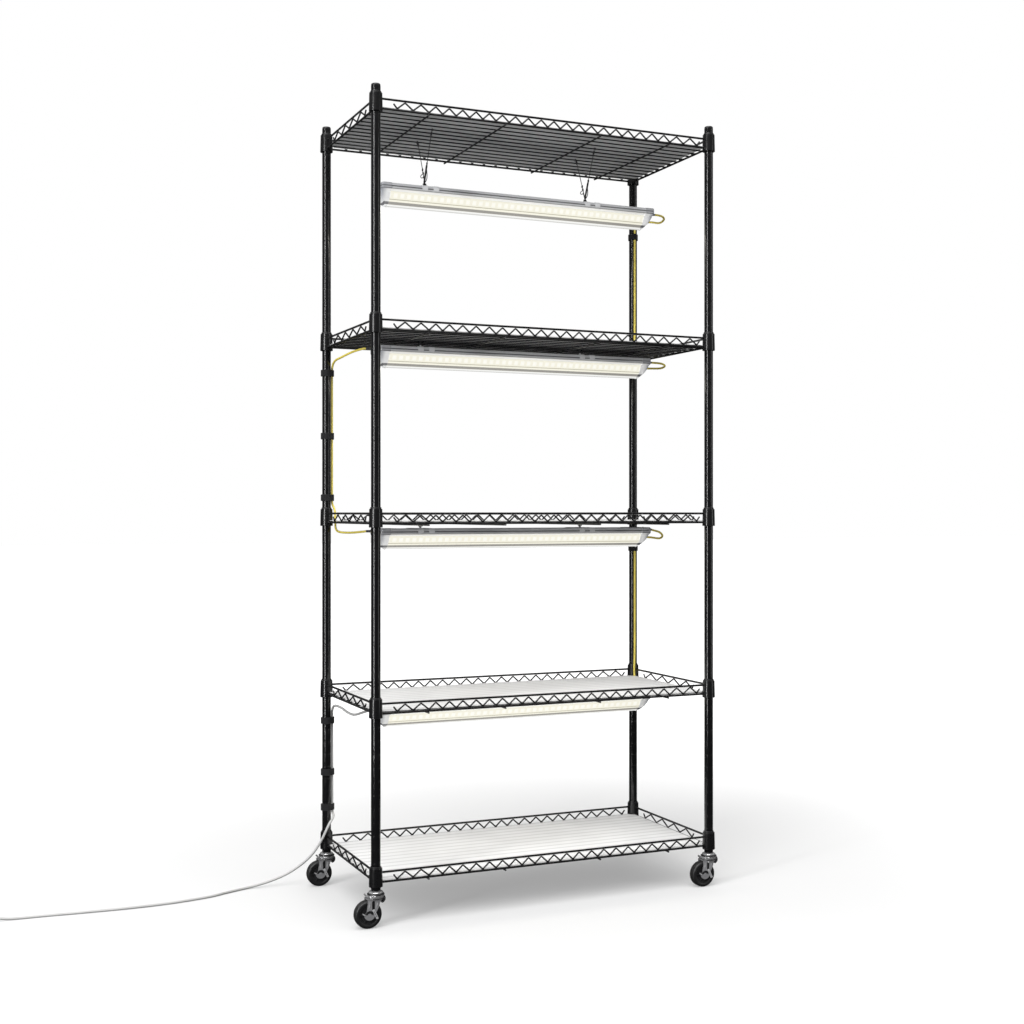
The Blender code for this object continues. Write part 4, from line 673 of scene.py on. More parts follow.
def make_studio():
    scene = bpy.context.scene
    scene.view_settings.view_transform = "Standard"
    lens = bpy.data.cameras.new("picture_camera")
    lens.lens = CAMERA_LENS
    lens.shift_y = CAMERA_SHIFT
    lens.clip_end = 100
    camera = bpy.data.objects.new("picture_camera", lens)
    camera.location = CAMERA_PLACE
    camera.rotation_euler = (math.pi / 2, 0, CAMERA_TURN)
    scene.collection.objects.link(camera)
    scene.camera = camera

    floor = bmesh.new()
    ring_of(floor, [(-30, -30, 0), (30, -30, 0), (30, 30, 0), (-30, 30, 0)])
    floor.faces.new(floor.verts)
    plane = bpy.data.objects.new("studio_floor", mesh_of("studio_floor", floor, floor_paint()))
    plane.visible_glossy = False
    plane.visible_diffuse = False
    scene.collection.objects.link(plane)

    world = bpy.data.worlds.new("studio")
    world.use_nodes = True
    scene.world = world
    tree = world.node_tree
    sky = tree.nodes["Background"]
    seen = tree.nodes.new("ShaderNodeLightPath")
    dimmed = tree.nodes.new("ShaderNodeMapRange")  # the sky that gloss mirrors is darker
    dimmed.inputs["To Min"].default_value = SKY_LIGHT
    dimmed.inputs["To Max"].default_value = SKY_MIRRORED
    tree.links.new(seen.outputs["Is Glossy Ray"], dimmed.inputs["Value"])
    tree.links.new(dimmed.outputs[0], sky.inputs["Strength"])
    way = tree.nodes.new("ShaderNodeTexCoord")
    parts = tree.nodes.new("ShaderNodeSeparateXYZ")
    height = tree.nodes.new("ShaderNodeMapRange")
    height.inputs["From Min"].default_value = -1.0
    tones = tree.nodes.new("ShaderNodeValToRGB")
    tones.color_ramp.elements.new(0.5)
    for stop, (at, tone) in zip(tones.color_ramp.elements, SKY_TONES):
        stop.position = at
        stop.color = (tone, tone, tone, 1.0)
    backdrop = tree.nodes.new("ShaderNodeBackground")
    backdrop.inputs["Color"].default_value = (1.0, 1.0, 1.0, 1.0)
    choice = tree.nodes.new("ShaderNodeMixShader")
    tree.links.new(way.outputs["Generated"], parts.inputs[0])
    tree.links.new(parts.outputs["Z"], height.inputs["Value"])
    tree.links.new(height.outputs[0], tones.inputs[0])
    tree.links.new(tones.outputs[0], sky.inputs["Color"])
    tree.links.new(seen.outputs["Is Camera Ray"], choice.inputs[0])
    tree.links.new(sky.outputs[0], choice.inputs[1])
    tree.links.new(backdrop.outputs[0], choice.inputs[2])
    tree.links.new(choice.outputs[0], tree.nodes["World Output"].inputs["Surface"])

    sun = bpy.data.lights.new("key", "SUN")
    sun.energy = KEY_LIGHT
    sun.angle = math.radians(KEY_SPREAD)
    place_lamp("key", sun, (-1.7, -1.7, 3.6), (0.0, 0.0, 0.7))
    for name, place, target, size, energy in SOFT_BOXES:
        box = bpy.data.lights.new(name, "AREA")
        box.shape = "RECTANGLE"
        box.size, box.size_y = size
        box.energy = energy
        place_lamp(name, box, place, target)
    for number, (top, (x, y)) in enumerate(zip(LIGHT_TOPS, LIGHT_PLACES), 1):
        glow = bpy.data.lights.new(f"glow_{number}", "AREA")
        glow.shape = "RECTANGLE"
        glow.size, glow.size_y = LIGHT_LENGTH - 2 * CAP_LENGTH, 40 * MM
        glow.energy = LAMP_GLOW
        glow.color = (1.0, 0.96, 0.87)
        below = (x + MIDDLE_X, y, top - 43 * MM)
        place_lamp(f"glow_{number}", glow, below, (*below[:2], 0.0))


def place_lamp(name, lamp, place, target):
    obj = bpy.data.objects.new(name, lamp)
    obj.location = place
    obj.rotation_euler = (Vector(target) - Vector(place)).to_track_quat("-Z", "Y").to_euler()
    obj.visible_camera = False
    bpy.context.collection.objects.link(obj)


# Power cord, controller, plug and coil

POWER_ROUTE = (
    (-0.3180, 0.0130, 0.3795),
    (-0.3290, 0.0230, 0.3745),
    (-0.3385, 0.0500, 0.3670),
    (-0.3440, 0.0780, 0.3690),
    (-0.3480, 0.1050, 0.3745),
    (-0.3503, 0.1350, 0.3750),
    (-0.3504, 0.1540, 0.3710),
    (-0.3504, 0.1618, 0.3620),
    (-0.3504, 0.1625, 0.3530),
    (-0.3504, 0.1625, 0.2950),
    (-0.3504, 0.1625, 0.2350),
    (-0.3504, 0.1625, 0.1850),
    (-0.3504, 0.1625, 0.1550),
    (-0.3497, 0.1545, 0.1450),
    (-0.3540, 0.1482, 0.1390),
    (-0.3612, 0.1460, 0.1305),
    (-0.3674, 0.1450, 0.1190),
    (-0.3748, 0.1465, 0.1032),
    (-0.3838, 0.1520, 0.0842),
    (-0.3944, 0.1610, 0.0660),
    (-0.4082, 0.1710, 0.0495),
    (-0.4263, 0.1820, 0.0335),
    (-0.4443, 0.1890, 0.0225),
    (-0.4697, 0.1945, 0.0125),
    (-0.4988, 0.1955, 0.0060),
    (-0.5263, 0.1930, 0.0028),
    (-0.5700, 0.1760, 0.0025),
    (-0.6074, 0.1600, 0.0025),
    (-0.6790, 0.1467, 0.0025),
    (-0.7579, 0.1434, 0.0025),
    (-0.8400, 0.1480, 0.0025),
    (-0.9200, 0.1550, 0.0025),
    (-0.9750, 0.1580, 0.0027),
    (-1.0000, 0.1580, 0.0055),
    (-1.0130, 0.1580, 0.0080),
)
CONTROLLER_ENTRY = (-1.0200, 0.1580, 0.0080)
CONTROLLER_SIZE = (80 * MM, 26 * MM, 16 * MM)
CONTROLLER_MIDDLE = (-1.0823, 0.1580, 0.0080)
CONTROLLER_EDGE = 5 * MM
FACE_SINK = 0.5 * MM
RELIEF_LENGTH = 22 * MM
RELIEF_ROOT = 4 * MM  # inside the controller
RELIEF_WIDE = 4.6 * MM
RELIEF_NARROW = 3.4 * MM
RELIEF_RIBS = 3
CORD_RUN_IN = 30 * MM  # through the relief to its grip inside the controller
BUTTONS = {"timer": -9 * MM, "power": 17 * MM}  # along the controller from its middle
BUTTON_RADIUS = 4.5 * MM
LED_DOTS = (-14 * MM, -9 * MM, -4 * MM)
LED_DOT_ROW = 6.6 * MM
COIL_START_X = -1.1446
COIL_RADIUS = 26.5 * MM
COIL_PITCH = 5.55 * MM
COIL_HALF_TURNS = 1.75
COIL_LEAD = 26 * MM
COIL_TURN_POINTS = 24
PLUG_LEAD = 30 * MM
PLUG_START = 22 * MM  # the body's, beyond the relief
PLUG_SIZE = (27 * MM, 22 * MM, 17 * MM)
PLUG_STATIONS = (
    (0.0, 0.50), (0.06, 0.62), (0.22, 0.74), (0.42, 0.80), (0.55, 0.82), (0.62, 0.92), (0.70, 0.98),
    (0.90, 1.0), (0.975, 0.985), (1.0, 0.93),
)  # along the body, with the size there
PRONG_SPREAD = 6.35 * MM
PRONG_REACH = 17 * MM


def light_socket(number, side):
    """Where a cable meets the end cap of a light."""
    x, y = LIGHT_PLACES[number - 1]
    return (x + side * (LIGHT_LENGTH / 2 + 0.3 * MM), y, LIGHT_TOPS[number - 1] - SOCKET_DROP)


def in_world(points):
    return [(x + MIDDLE_X, y, z) for x, y, z in points]


def cord_piece(name, points, finish, stands_for):
    """A cord as a curve with a round bevel, drawn where its points are."""
    curve = bpy.data.curves.new(name, "CURVE")
    curve.dimensions = "3D"
    curve.bevel_depth = CORD / 2
    curve.bevel_resolution = 5
    curve.use_fill_caps = True
    spline = curve.splines.new("POLY")
    spline.points.add(len(points) - 1)
    spline.points.foreach_set("co", np.c_[np.array(points), np.ones(len(points))].ravel())
    spline.use_smooth = True
    curve.materials.append(finish.material)
    return piece(name, curve, "rack", stands_for)


def coil_route():
    """Straight out of the controller, in by turns, up a layer, out again and into the plug."""
    x = COIL_START_X
    y = CONTROLLER_ENTRY[1]
    outer = COIL_RADIUS + COIL_PITCH * COIL_HALF_TURNS / 2
    centre = (x - COIL_LEAD, y + outer)
    points = [(x, y, 8 * MM), (x - CORD, y, 8 * MM)]
    points += [(x - COIL_LEAD / 2, y, 4.975 * MM), (x - 0.8 * COIL_LEAD, y, 2.775 * MM)]
    for number in range(round(2 * COIL_HALF_TURNS * COIL_TURN_POINTS) + 1):
        turn = number / COIL_TURN_POINTS
        radius = outer - COIL_PITCH * (COIL_HALF_TURNS - abs(turn - COIL_HALF_TURNS))
        climb = min(1.0, max(0.0, (turn - 1.5) / 0.5))
        angle = -math.pi / 2 - 2 * math.pi * turn
        reach = (centre[0] + radius * math.cos(angle), centre[1] + radius * math.sin(angle))
        points.append((*reach, CORD / 2 + COIL_PITCH * climb))
    plug_y = centre[1] + outer
    points.append((centre[0] + PLUG_LEAD / 2, plug_y, 8.275 * MM))
    points.append((centre[0] + PLUG_LEAD - CORD, plug_y, 8.5 * MM))
    points.append((centre[0] + PLUG_LEAD, plug_y, 8.5 * MM))
    return points


def ribbed_relief(length):
    """Profile of a tapered relief with rounded ribs, from its narrow end down to its wide foot."""
    profile = [(RELIEF_NARROW * 0.8, length), (RELIEF_NARROW, length - 0.6 * MM)]
    for rib in reversed(range(RELIEF_RIBS)):
        for share, dip in ((0.95, 0.25), (0.80, 0.0), (0.45, 0.0), (0.30, 0.25), (0.22, 1.0), (0.05, 1.0)):
            along = (rib + share) / RELIEF_RIBS
            taper = RELIEF_WIDE + (RELIEF_NARROW - RELIEF_WIDE) * along
            radius = taper - dip * (RELIEF_WIDE - RELIEF_NARROW) * 0.9
            profile.append((radius, along * (length - 1.6 * MM)))
    return [*profile, (RELIEF_WIDE, 0.0)]


def stadium(inset):
    width = CONTROLLER_SIZE[1] - 2 * inset
    return rounded_plate(CONTROLLER_SIZE[0] - 2 * inset, width, width / 2 - 0.2 * MM, 12)


def controller_mesh(white_plastic, dark_gloss, red_mark):
    """A flat capsule with rounded edges, a sunk face, button wells, LED dots and ribbed reliefs."""
    shape = bmesh.new()
    half = CONTROLLER_SIZE[2] / 2
    edge = CONTROLLER_EDGE
    face = half - FACE_SINK
    layers = []
    for angle in (0, 18, 36, 54, 72, 90):
        turn = math.radians(angle)
        layers.append((edge * (1 - math.sin(turn)), -half + edge * (1 - math.cos(turn))))
    layers += [(inset, -height) for inset, height in reversed(layers)]
    panel = edge + 0.6 * MM
    layers += [(panel, half), (panel + 0.35 * MM, face), (panel + 1.2 * MM, face)]
    rings = [ring_of(shape, [(x, y, height) for x, y in stadium(inset)]) for inset, height in layers]
    skin(shape, rings)
    for side in (-1, 1):
        points = lathe(shape, ribbed_relief(RELIEF_LENGTH + RELIEF_ROOT), 24)
        turned_to(shape, points, laid((side * (CONTROLLER_SIZE[0] / 2 - RELIEF_ROOT), 0, 0), "Y", side))
    for x in BUTTONS.values():
        outer = BUTTON_RADIUS + 1.0 * MM
        inner = BUTTON_RADIUS + 0.25 * MM
        rim = [(outer, face - 0.3 * MM), (outer, face + 0.45 * MM), (outer - 0.25 * MM, face + 0.6 * MM)]
        rim += [(inner, face + 0.6 * MM), (inner, face - 0.3 * MM)]
        lathe(shape, rim, 40, (x, 0.0), bored=True, slot=1)
    for x in (*LED_DOTS, BUTTONS["power"]):
        dot = [(0.9 * MM, face - 0.2 * MM), (0.9 * MM, face + 0.05 * MM), (0.55 * MM, face + 0.22 * MM)]
        lathe(shape, dot, 20, (x, LED_DOT_ROW), slot=1)
    return mesh_of("controller", shape, white_plastic, dark_gloss, red_mark)


def button_mesh(kind, white_button, mark):
    """A round push button with its symbol standing a hair proud."""
    shape = bmesh.new()
    radius = BUTTON_RADIUS
    dish = [(radius, -1.8 * MM), (radius, 0.35 * MM), (radius - 0.2 * MM, 0.75 * MM)]
    dish += [(radius - 0.6 * MM, 0.9 * MM), (radius - 1.1 * MM, 0.82 * MM)]
    lathe(shape, dish, 40)
    top = 0.86 * MM
    if kind == "power":
        ring = [(x, y, top) for x, y in arc((0, 0), 1.75 * MM, 55, -235, 24)]
        sweep(shape, ring, 0.22 * MM, 8, slot=1)
        sweep(shape, [(0, 0.5 * MM, top), (0, 2.3 * MM, top)], 0.22 * MM, 8, slot=1)
    else:
        ring = [(x, y, top) for x, y in arc((0, 0), 1.8 * MM, 100, 440, 28)]
        sweep(shape, ring, 0.18 * MM, 8, slot=1)
        hands = eased([(0, 1.1 * MM, top), (0, 0, top), (0.9 * MM, 0, top)], 0.1 * MM, 2)
        sweep(shape, hands, 0.18 * MM, 8, slot=1)
    return mesh_of(f"{kind}_button", shape, white_button, mark)


def plug_mesh(white_plastic, bright_metal):
    """A moulded two-prong plug that lies on its side, its cord entry at x = 0."""
    shape = bmesh.new()
    length, width, height = PLUG_SIZE
    rings = []
    for share, size in PLUG_STATIONS:
        outline = rounded_plate(height * size, width * size, 5 * MM * size, 6)
        rings.append(ring_of(shape, [(PLUG_START + share * length, b, a) for a, b in outline]))
    skin(shape, rings)
    root = PLUG_START + 5 * MM
    turned_to(shape, lathe(shape, ribbed_relief(root), 24), laid((root, 0, 0), "Y", -1))
    end = PLUG_START + length
    outline = rounded_plate(1.5 * MM, 6.3 * MM, 0.4 * MM, 3)
    for side in (-1, 1):
        rings = []
        for x, size in ((end - 0.5 * MM, 1.0), (end + PRONG_REACH - 2 * MM, 1.0), (end + PRONG_REACH, 0.6)):
            points = [(x, side * PRONG_SPREAD + a * size, b * size) for a, b in outline]
            rings.append(ring_of(shape, points))
        skin(shape, rings, slot=1)
    return mesh_of("plug", shape, white_plastic, bright_metal)


def make_power():
    white_cord = jacket("white_cord", (0.46, 0.46, 0.455))
    white_plastic = worn("white_plastic", (0.60, 0.60, 0.595), 0.34, 700.0, 0.00002, 0.03)
    white_button = worn("white_button", (0.52, 0.52, 0.52), 0.3, 500.0, 0.00001, 0.03)
    dark_gloss = worn("dark_gloss", (0.02, 0.02, 0.022), 0.2, 400.0, 0.00001)
    red_mark = worn("red_mark", (0.55, 0.02, 0.02), 0.35, 400.0, 0.00001, 0.1)
    bright_metal = zinc_plate("prong_metal", (0.72, 0.66, 0.5), 0.28, 0.5)

    body = controller_mesh(white_plastic, dark_gloss, red_mark)
    stands_for = ("controller_body",)
    controller = piece("cord_controller", body, "rack", stands_for, CONTROLLER_MIDDLE)
    for kind, x in BUTTONS.items():
        mesh = button_mesh(kind, white_button, red_mark if kind == "power" else dark_gloss)
        middle_x, y, z = CONTROLLER_MIDDLE
        at = (middle_x + x, y, z + CONTROLLER_SIZE[2] / 2)
        name = f"{kind}_button"
        piece(f"{kind}_push", mesh, name, (name,), at)

    start = light_socket(4, -1)
    knots = [(start[0] - 2 * CORD, *start[1:]), *POWER_ROUTE, CONTROLLER_ENTRY]
    path = [start, *smooth_path(knots, 2 * CORD)]
    path.append((CONTROLLER_ENTRY[0] - CORD_RUN_IN, *CONTROLLER_ENTRY[1:]))
    cord = cord_piece("mains_cord", path, white_cord, ("power_cord",))
    in_world([start])[0]
    route = coil_route()
    path = smooth_path(route, CORD / 2)
    coil = cord_piece("spare_cord_coil", path, white_cord, ("cord_coil",))
    end = route[-1]
    plug = piece("mains_plug", plug_mesh(white_plastic, bright_metal), "rack", ("plug",),
                 (end[0] + 0.3 * MM, end[1], end[2]))
    in_world([route[0]])[0]


# Posts

def collar_radius(rise):
    share = (rise - COLLAR_BOTTOM) / COLLAR_HEIGHT
    return COLLAR_BOTTOM_RADIUS + (COLLAR_TOP_RADIUS - COLLAR_BOTTOM_RADIUS) * share


def post_mesh(black_gloss, black_plastic, zinc):
    """A tube with a groove every inch, a pressed cap and the stem of its caster."""
    shape = bmesh.new()
    profile = [(STEM_RADIUS, POST_BOTTOM - STEM_LENGTH), (STEM_RADIUS, POST_BOTTOM)]
    lathe(shape, profile, 24, slot=2)
    foot = POST_BOTTOM
    profile = [(POST_RADIUS - 0.8 * MM, foot), (POST_RADIUS - 0.2 * MM, foot + 0.3 * MM)]
    profile.append((POST_RADIUS, foot + 1 * MM))
    top = POST_TOP - 4.5 * MM
    height = foot + GROOVE_PITCH
    while height < top - GROOVE_PITCH / 2:
        profile.append((POST_RADIUS, height - GROOVE_HALF))
        profile.append((POST_RADIUS - GROOVE_DEPTH, height - GROOVE_HALF / 3))
        profile.append((POST_RADIUS - GROOVE_DEPTH, height + GROOVE_HALF / 3))
        profile.append((POST_RADIUS, height + GROOVE_HALF))
        height += GROOVE_PITCH
    profile += [(POST_RADIUS, top), (POST_RADIUS - 0.5 * MM, top)]
    lathe(shape, profile, POST_SIDES)
    cap = [(POST_RADIUS - 0.6 * MM, top - 0.2 * MM), (POST_RADIUS - 0.25 * MM, top + 0.35 * MM)]
    cap += [(POST_RADIUS - 0.25 * MM, POST_TOP - 2.2 * MM), (POST_RADIUS - 0.8 * MM, POST_TOP - 0.9 * MM)]
    cap += [(POST_RADIUS - 1.9 * MM, POST_TOP - 0.25 * MM), (POST_RADIUS - 3.4 * MM, POST_TOP)]
    lathe(shape, cap, POST_SIDES, slot=1)
    for shelf in SHELF_HEIGHTS:
        low = shelf + COLLAR_BOTTOM
        high = low + COLLAR_HEIGHT + SLEEVE_LIP
        inner = POST_RADIUS + 0.05 * MM
        outer_low = collar_radius(COLLAR_BOTTOM) - COLLAR_WALL - SLEEVE_GAP
        outer_high = collar_radius(COLLAR_BOTTOM + COLLAR_HEIGHT + SLEEVE_LIP) - COLLAR_WALL - SLEEVE_GAP
        sleeve = [(inner, low + 0.1 * MM), (outer_low, low + 0.1 * MM), (outer_high, high - 0.5 * MM)]
        sleeve += [(outer_high - 0.3 * MM, high), (inner, high)]
        lathe(shape, sleeve, POST_SIDES, bored=True, slot=1)
    return mesh_of("post_tube", shape, black_gloss, black_plastic, zinc)


# Shelves

def truss_route(half, layout, plane, axis):
    """The snake wire between two posts, with a free tail turned up at each end."""
    first_gap, last_gap, end_pitch, count = layout
    first = first_gap - half
    last = half - last_gap
    inner = np.linspace(first + 2 * end_pitch, last - 2 * end_pitch, count - 4)
    lows = [first, first + end_pitch, *inner, last - end_pitch, last]
    low_rise = RAIL_RADIUS + TRUSS_RADIUS - 0.1 * MM
    high_rise = RAIL_RISE - low_rise
    bends = [(lows[0] - TRUSS_TAIL[0], low_rise + TRUSS_TAIL[1])]
    for number, low in enumerate(lows):
        bends.append((low, low_rise - 0.8 * MM))
        if number < count - 1:
            bends.append(((low + lows[number + 1]) / 2, high_rise + 0.8 * MM))
    bends.append((lows[-1] + TRUSS_TAIL[0], low_rise + TRUSS_TAIL[1]))
    points = [on_axis(axis, along, (plane, rise)) for along, rise in bends]
    return eased(points, TRUSS_BEND, 4), lows


def weld(shape, centre, reach):
    """A small flattened bead where two wires are welded."""
    points = lathe(shape, [(0.35, -0.9), (0.8, -0.6), (1.0, 0.0), (0.8, 0.6), (0.35, 0.9)], 8)
    scale = Matrix.Diagonal((*reach, 1.0))
    turned_to(shape, points, Matrix.Translation(centre) @ scale)


def shelf_mesh(black_wire_coat):
    """Rails, snake wires, deck wires, cross wires and tapered collars, welded into one shelf."""
    shape = bmesh.new()
    for rise in (0.0, RAIL_RISE):
        middle = collar_radius(rise) - COLLAR_WALL / 2
        for side in (-1, 1):
            ends = [(x, side * HALF_Y, rise) for x in (-HALF_X + middle, HALF_X - middle)]
            sweep(shape, ends, RAIL_RADIUS, 16)
            ends = [(side * HALF_X, y, rise) for y in (-HALF_Y + middle, HALF_Y - middle)]
            sweep(shape, ends, RAIL_RADIUS, 16)
    for side in (-1, 1):
        for axis, half, layout, plane in (
            ("X", HALF_X, FRONT_TRUSS, side * HALF_Y),
            ("Y", HALF_Y, SIDE_TRUSS, side * HALF_X),
        ):
            route, touches = truss_route(half, layout, plane, axis)
            sweep(shape, route, TRUSS_RADIUS, 10)
            reach = (WELD_LENGTH, 1.5 * MM, 1.3 * MM) if axis == "X" else (1.5 * MM, WELD_LENGTH, 1.3 * MM)
            for along in touches:
                weld(shape, on_axis(axis, along, (plane, RAIL_RADIUS + 0.2 * MM)), reach)
    for number in range(DECK_WIRES):
        y = (number - (DECK_WIRES - 1) / 2) * DECK_PITCH
        end = HALF_X - RAIL_RADIUS + 0.5 * MM
        sweep(shape, [(-end, y, 0.0), (end, y, 0.0)], DECK_RADIUS, 12)
        for side in (-1, 1):
            weld(shape, (side * (HALF_X - RAIL_RADIUS), y, 0.0), (1.4 * MM, 2.3 * MM, 1.8 * MM))
    drop = -RAIL_RADIUS - CROSS_RADIUS + 0.35 * MM
    end = HALF_Y + RAIL_RADIUS + CROSS_POKE
    for x in CROSS_PLACES:
        sweep(shape, [(x, -end, drop), (x, end, drop)], CROSS_RADIUS, 12)
        for side in (-1, 1):
            weld(shape, (x, side * HALF_Y, drop + CROSS_RADIUS), (2.4 * MM, 2.2 * MM, 0.8 * MM))
    low = COLLAR_BOTTOM
    high = low + COLLAR_HEIGHT
    ease = COLLAR_ROUNDING
    for centre in CORNERS.values():
        top_inner = COLLAR_TOP_RADIUS - COLLAR_WALL
        bottom_inner = COLLAR_BOTTOM_RADIUS - COLLAR_WALL
        profile = [
            (COLLAR_BOTTOM_RADIUS, low + ease), (COLLAR_TOP_RADIUS, high - ease),
            (COLLAR_TOP_RADIUS - 0.3 * ease, high - 0.3 * ease), (COLLAR_TOP_RADIUS - ease, high),
            (top_inner + 0.2 * MM, high), (top_inner, high - 0.3 * MM), (bottom_inner, low + 0.3 * MM),
            (bottom_inner + 0.2 * MM, low), (COLLAR_BOTTOM_RADIUS - ease, low),
            (COLLAR_BOTTOM_RADIUS - 0.3 * ease, low + 0.3 * ease),
        ]
        lathe(shape, profile, 48, centre, bored=True)
    return mesh_of("wire_shelf", shape, black_wire_coat)


def liner_outline(inset):
    """The sheet's edge just inside the snake wires, notched round each post."""
    cut = math.degrees(math.asin((LINER_GAP + inset) / (LINER_NOTCH + inset)))
    outline = []
    for turn, (side_x, side_y) in enumerate(((1, 1), (-1, 1), (-1, -1), (1, -1))):
        post = (side_x * HALF_X, side_y * HALF_Y - LINER_SHIFT)
        outline += arc(post, LINER_NOTCH + inset, 270 - cut + 90 * turn, 180 + cut + 90 * turn, 16)
    return outline


def liner_mesh(liner):
    """A frosted sheet with eased edges."""
    shape = bmesh.new()
    ease = 0.25 * MM
    layers = ((ease, 0.0), (0.0, ease), (0.0, LINER_THICKNESS - ease), (ease, LINER_THICKNESS))
    rings = [ring_of(shape, [(x, y, height) for x, y in liner_outline(inset)]) for inset, height in layers]
    skin(shape, rings)
    return mesh_of("liner_sheet", shape, liner)


def make_rack():
    black_gloss = powder_coat("black_gloss", 0.16)
    black_satin = powder_coat("black_satin", 0.3)
    black_plastic = worn("black_plastic", (0.012, 0.012, 0.013), 0.38, 420.0, 0.00003)
    zinc = zinc_plate("stem_zinc", (0.6, 0.6, 0.61), 0.3)
    post = post_mesh(black_gloss, black_plastic, zinc)
    for corner, (x, y) in CORNERS.items():
        piece(f"rack_post_{corner}", post, "rack", (f"post_{corner}",), (x, y, 0.0))
    shelf = shelf_mesh(black_satin)
    # One sheet in two copies toned for how each is lit: the top one darker, with a painted glow for the sky's
    # light through it, the lower ones lighter and without glow.
    top_liner = liner_mesh(liner_sheet("top_liner_sheet_painted_glow", 0.057, 0.58))
    lower_liner = liner_mesh(liner_sheet("liner_sheet", 0.0, 0.79))
    for number, (height, lift) in enumerate(zip(SHELF_HEIGHTS, LINER_LIFTS), 1):
        liner = top_liner if number == 1 else lower_liner
        piece(f"wire_shelf_{number}", shelf, "rack", (f"shelf_{number}",), (0.0, 0.0, height))
        piece(f"liner_sheet_{number}", liner, "rack", (f"shelf_liner_{number}",),
              (0.0, LINER_SHIFT, height + lift))


# Casters

def cheek_outline():
    """Side view of a fork cheek in (x, z): two legs that spread from the axle to the crown."""
    outline = [(FORK_FRONT, CROWN_TOP), (FORK_BACK, CROWN_TOP), (FORK_BACK, 51 * MM)]
    outline += in_mm((-18.7, 46.0), (-20.4, 36.0))
    outline += arc((-TRAIL, WHEEL_RADIUS), 6.2 * MM, 160, 330, 14)
    outline += in_mm((-4.0, 28.4), (-1.2, 32.4), (1.8, 39.0), (4.0, 45.0), (5.4, 50.0))
    return [*outline, (9.6 * MM, CROWN_TOP - 1.5 * MM)]


def cheek_slot():
    """The slot between a cheek's legs, with round ends."""
    top = arc((-7.8 * MM, 49.6 * MM), 3.0 * MM, 0, 180, 9)
    return [*top, *arc((-7.9 * MM, 36.2 * MM), 2.8 * MM, 180, 360, 9)]


def fork_mesh(zinc, dark, bright):
    """Two pressed cheeks under a crown plate, a ball race with its bright washer, and the axle."""
    shape = bmesh.new()
    for side in (-1, 1):
        cheek = bmesh.new()
        inner = side * FORK_INSIDE
        ends = sorted((inner, inner + side * FORK_WALL))
        pierced(cheek, cheek_outline(), cheek_slot(), "Y", *ends)
        added(shape, softened(cheek, 0.45 * MM))
        for leg in ([(-14.8, 50), (-14.8, 46), (-15.4, 40)], [(0.6, 50), (-0.2, 46), (-1.8, 40)]):
            rib = [(x * MM, inner + side * FORK_WALL, z * MM) for x, z in leg]
            sweep(shape, rib, 1.1 * MM, 10, ease=0.7)
    reach = FORK_INSIDE + FORK_WALL
    soft_block(shape, 0.6 * MM, (FORK_BACK, -reach, 53.6 * MM), (FORK_FRONT, reach, CROWN_TOP))
    hook = in_mm(*arc((8.1, 54.6), 8.35, 60, -80, 28), *arc((8.1, 54.6), 5.8, -80, 60, 24))
    soft_bar(shape, 0.3 * MM, hook, "Y", -FORK_INSIDE + 0.2 * MM, FORK_INSIDE - 0.2 * MM, slot=1)
    # The lip takes the brighter washer zinc, a lighter copy of the fork's plate: a painted highlight along
    # its edge.
    lip = in_mm((-20.8, 60.2), (-20.4, 62.2), (-18.6, 62.6), (-15.2, 59.4), (-11.6, 56.4), (-11.6, 54.0))
    lip += in_mm((-15.2, 54.4))
    soft_bar(shape, 0.3 * MM, lip, "Y", -FORK_INSIDE - 1.2 * MM, FORK_INSIDE, slot=2)
    wall = in_mm((15.4, 56.4), (16.0, 57.4), (16.0, 60.8), (15.2, 61.8))
    lower = in_mm((15.8, 55.2), (16.5, 55.8), (16.4, 56.35))
    race = in_mm((15.7, 61.85), (16.5, 62.2), (16.3, 63.0), (13.4, 63.7))
    washer = in_mm((13.2, 63.9), (13.8, 64.6), (13.8, 66.0), (13.0, 67.0), (10.2, 68.3))
    for ring, low, high, slot in (
        (wall, 56.4, 61.8, 2), (lower, 55.2, 56.35, 1), (race, 61.85, 63.8, 1), (washer, 63.9, 68.6, 2)
    ):
        lathe(shape, [(HEAD_BORE, low * MM), *ring, (HEAD_BORE, high * MM)], 40, bored=True, slot=slot)
    collar = in_mm((3.6, 56.0), (4.34, 56.0), (4.34, 68.6), (4.2, 68.6))
    lathe(shape, collar, 24, bored=True, slot=2)
    lay = laid((-TRAIL, 0, WHEEL_RADIUS), "X", -1)
    axle = [(1.6 * MM, -13.4 * MM), (AXLE_RADIUS, -13.0 * MM), (AXLE_RADIUS, 11.0 * MM)]
    turned_to(shape, lathe(shape, axle, 24, slot=2), lay)
    rivet = [(AXLE_RADIUS, 11.2 * MM), *in_mm((4.4, 11.4), (4.2, 12.9), (2.6, 13.6))]
    turned_to(shape, lathe(shape, rivet, 24, slot=2), lay)
    return mesh_of("caster_fork", shape, zinc, dark, bright)


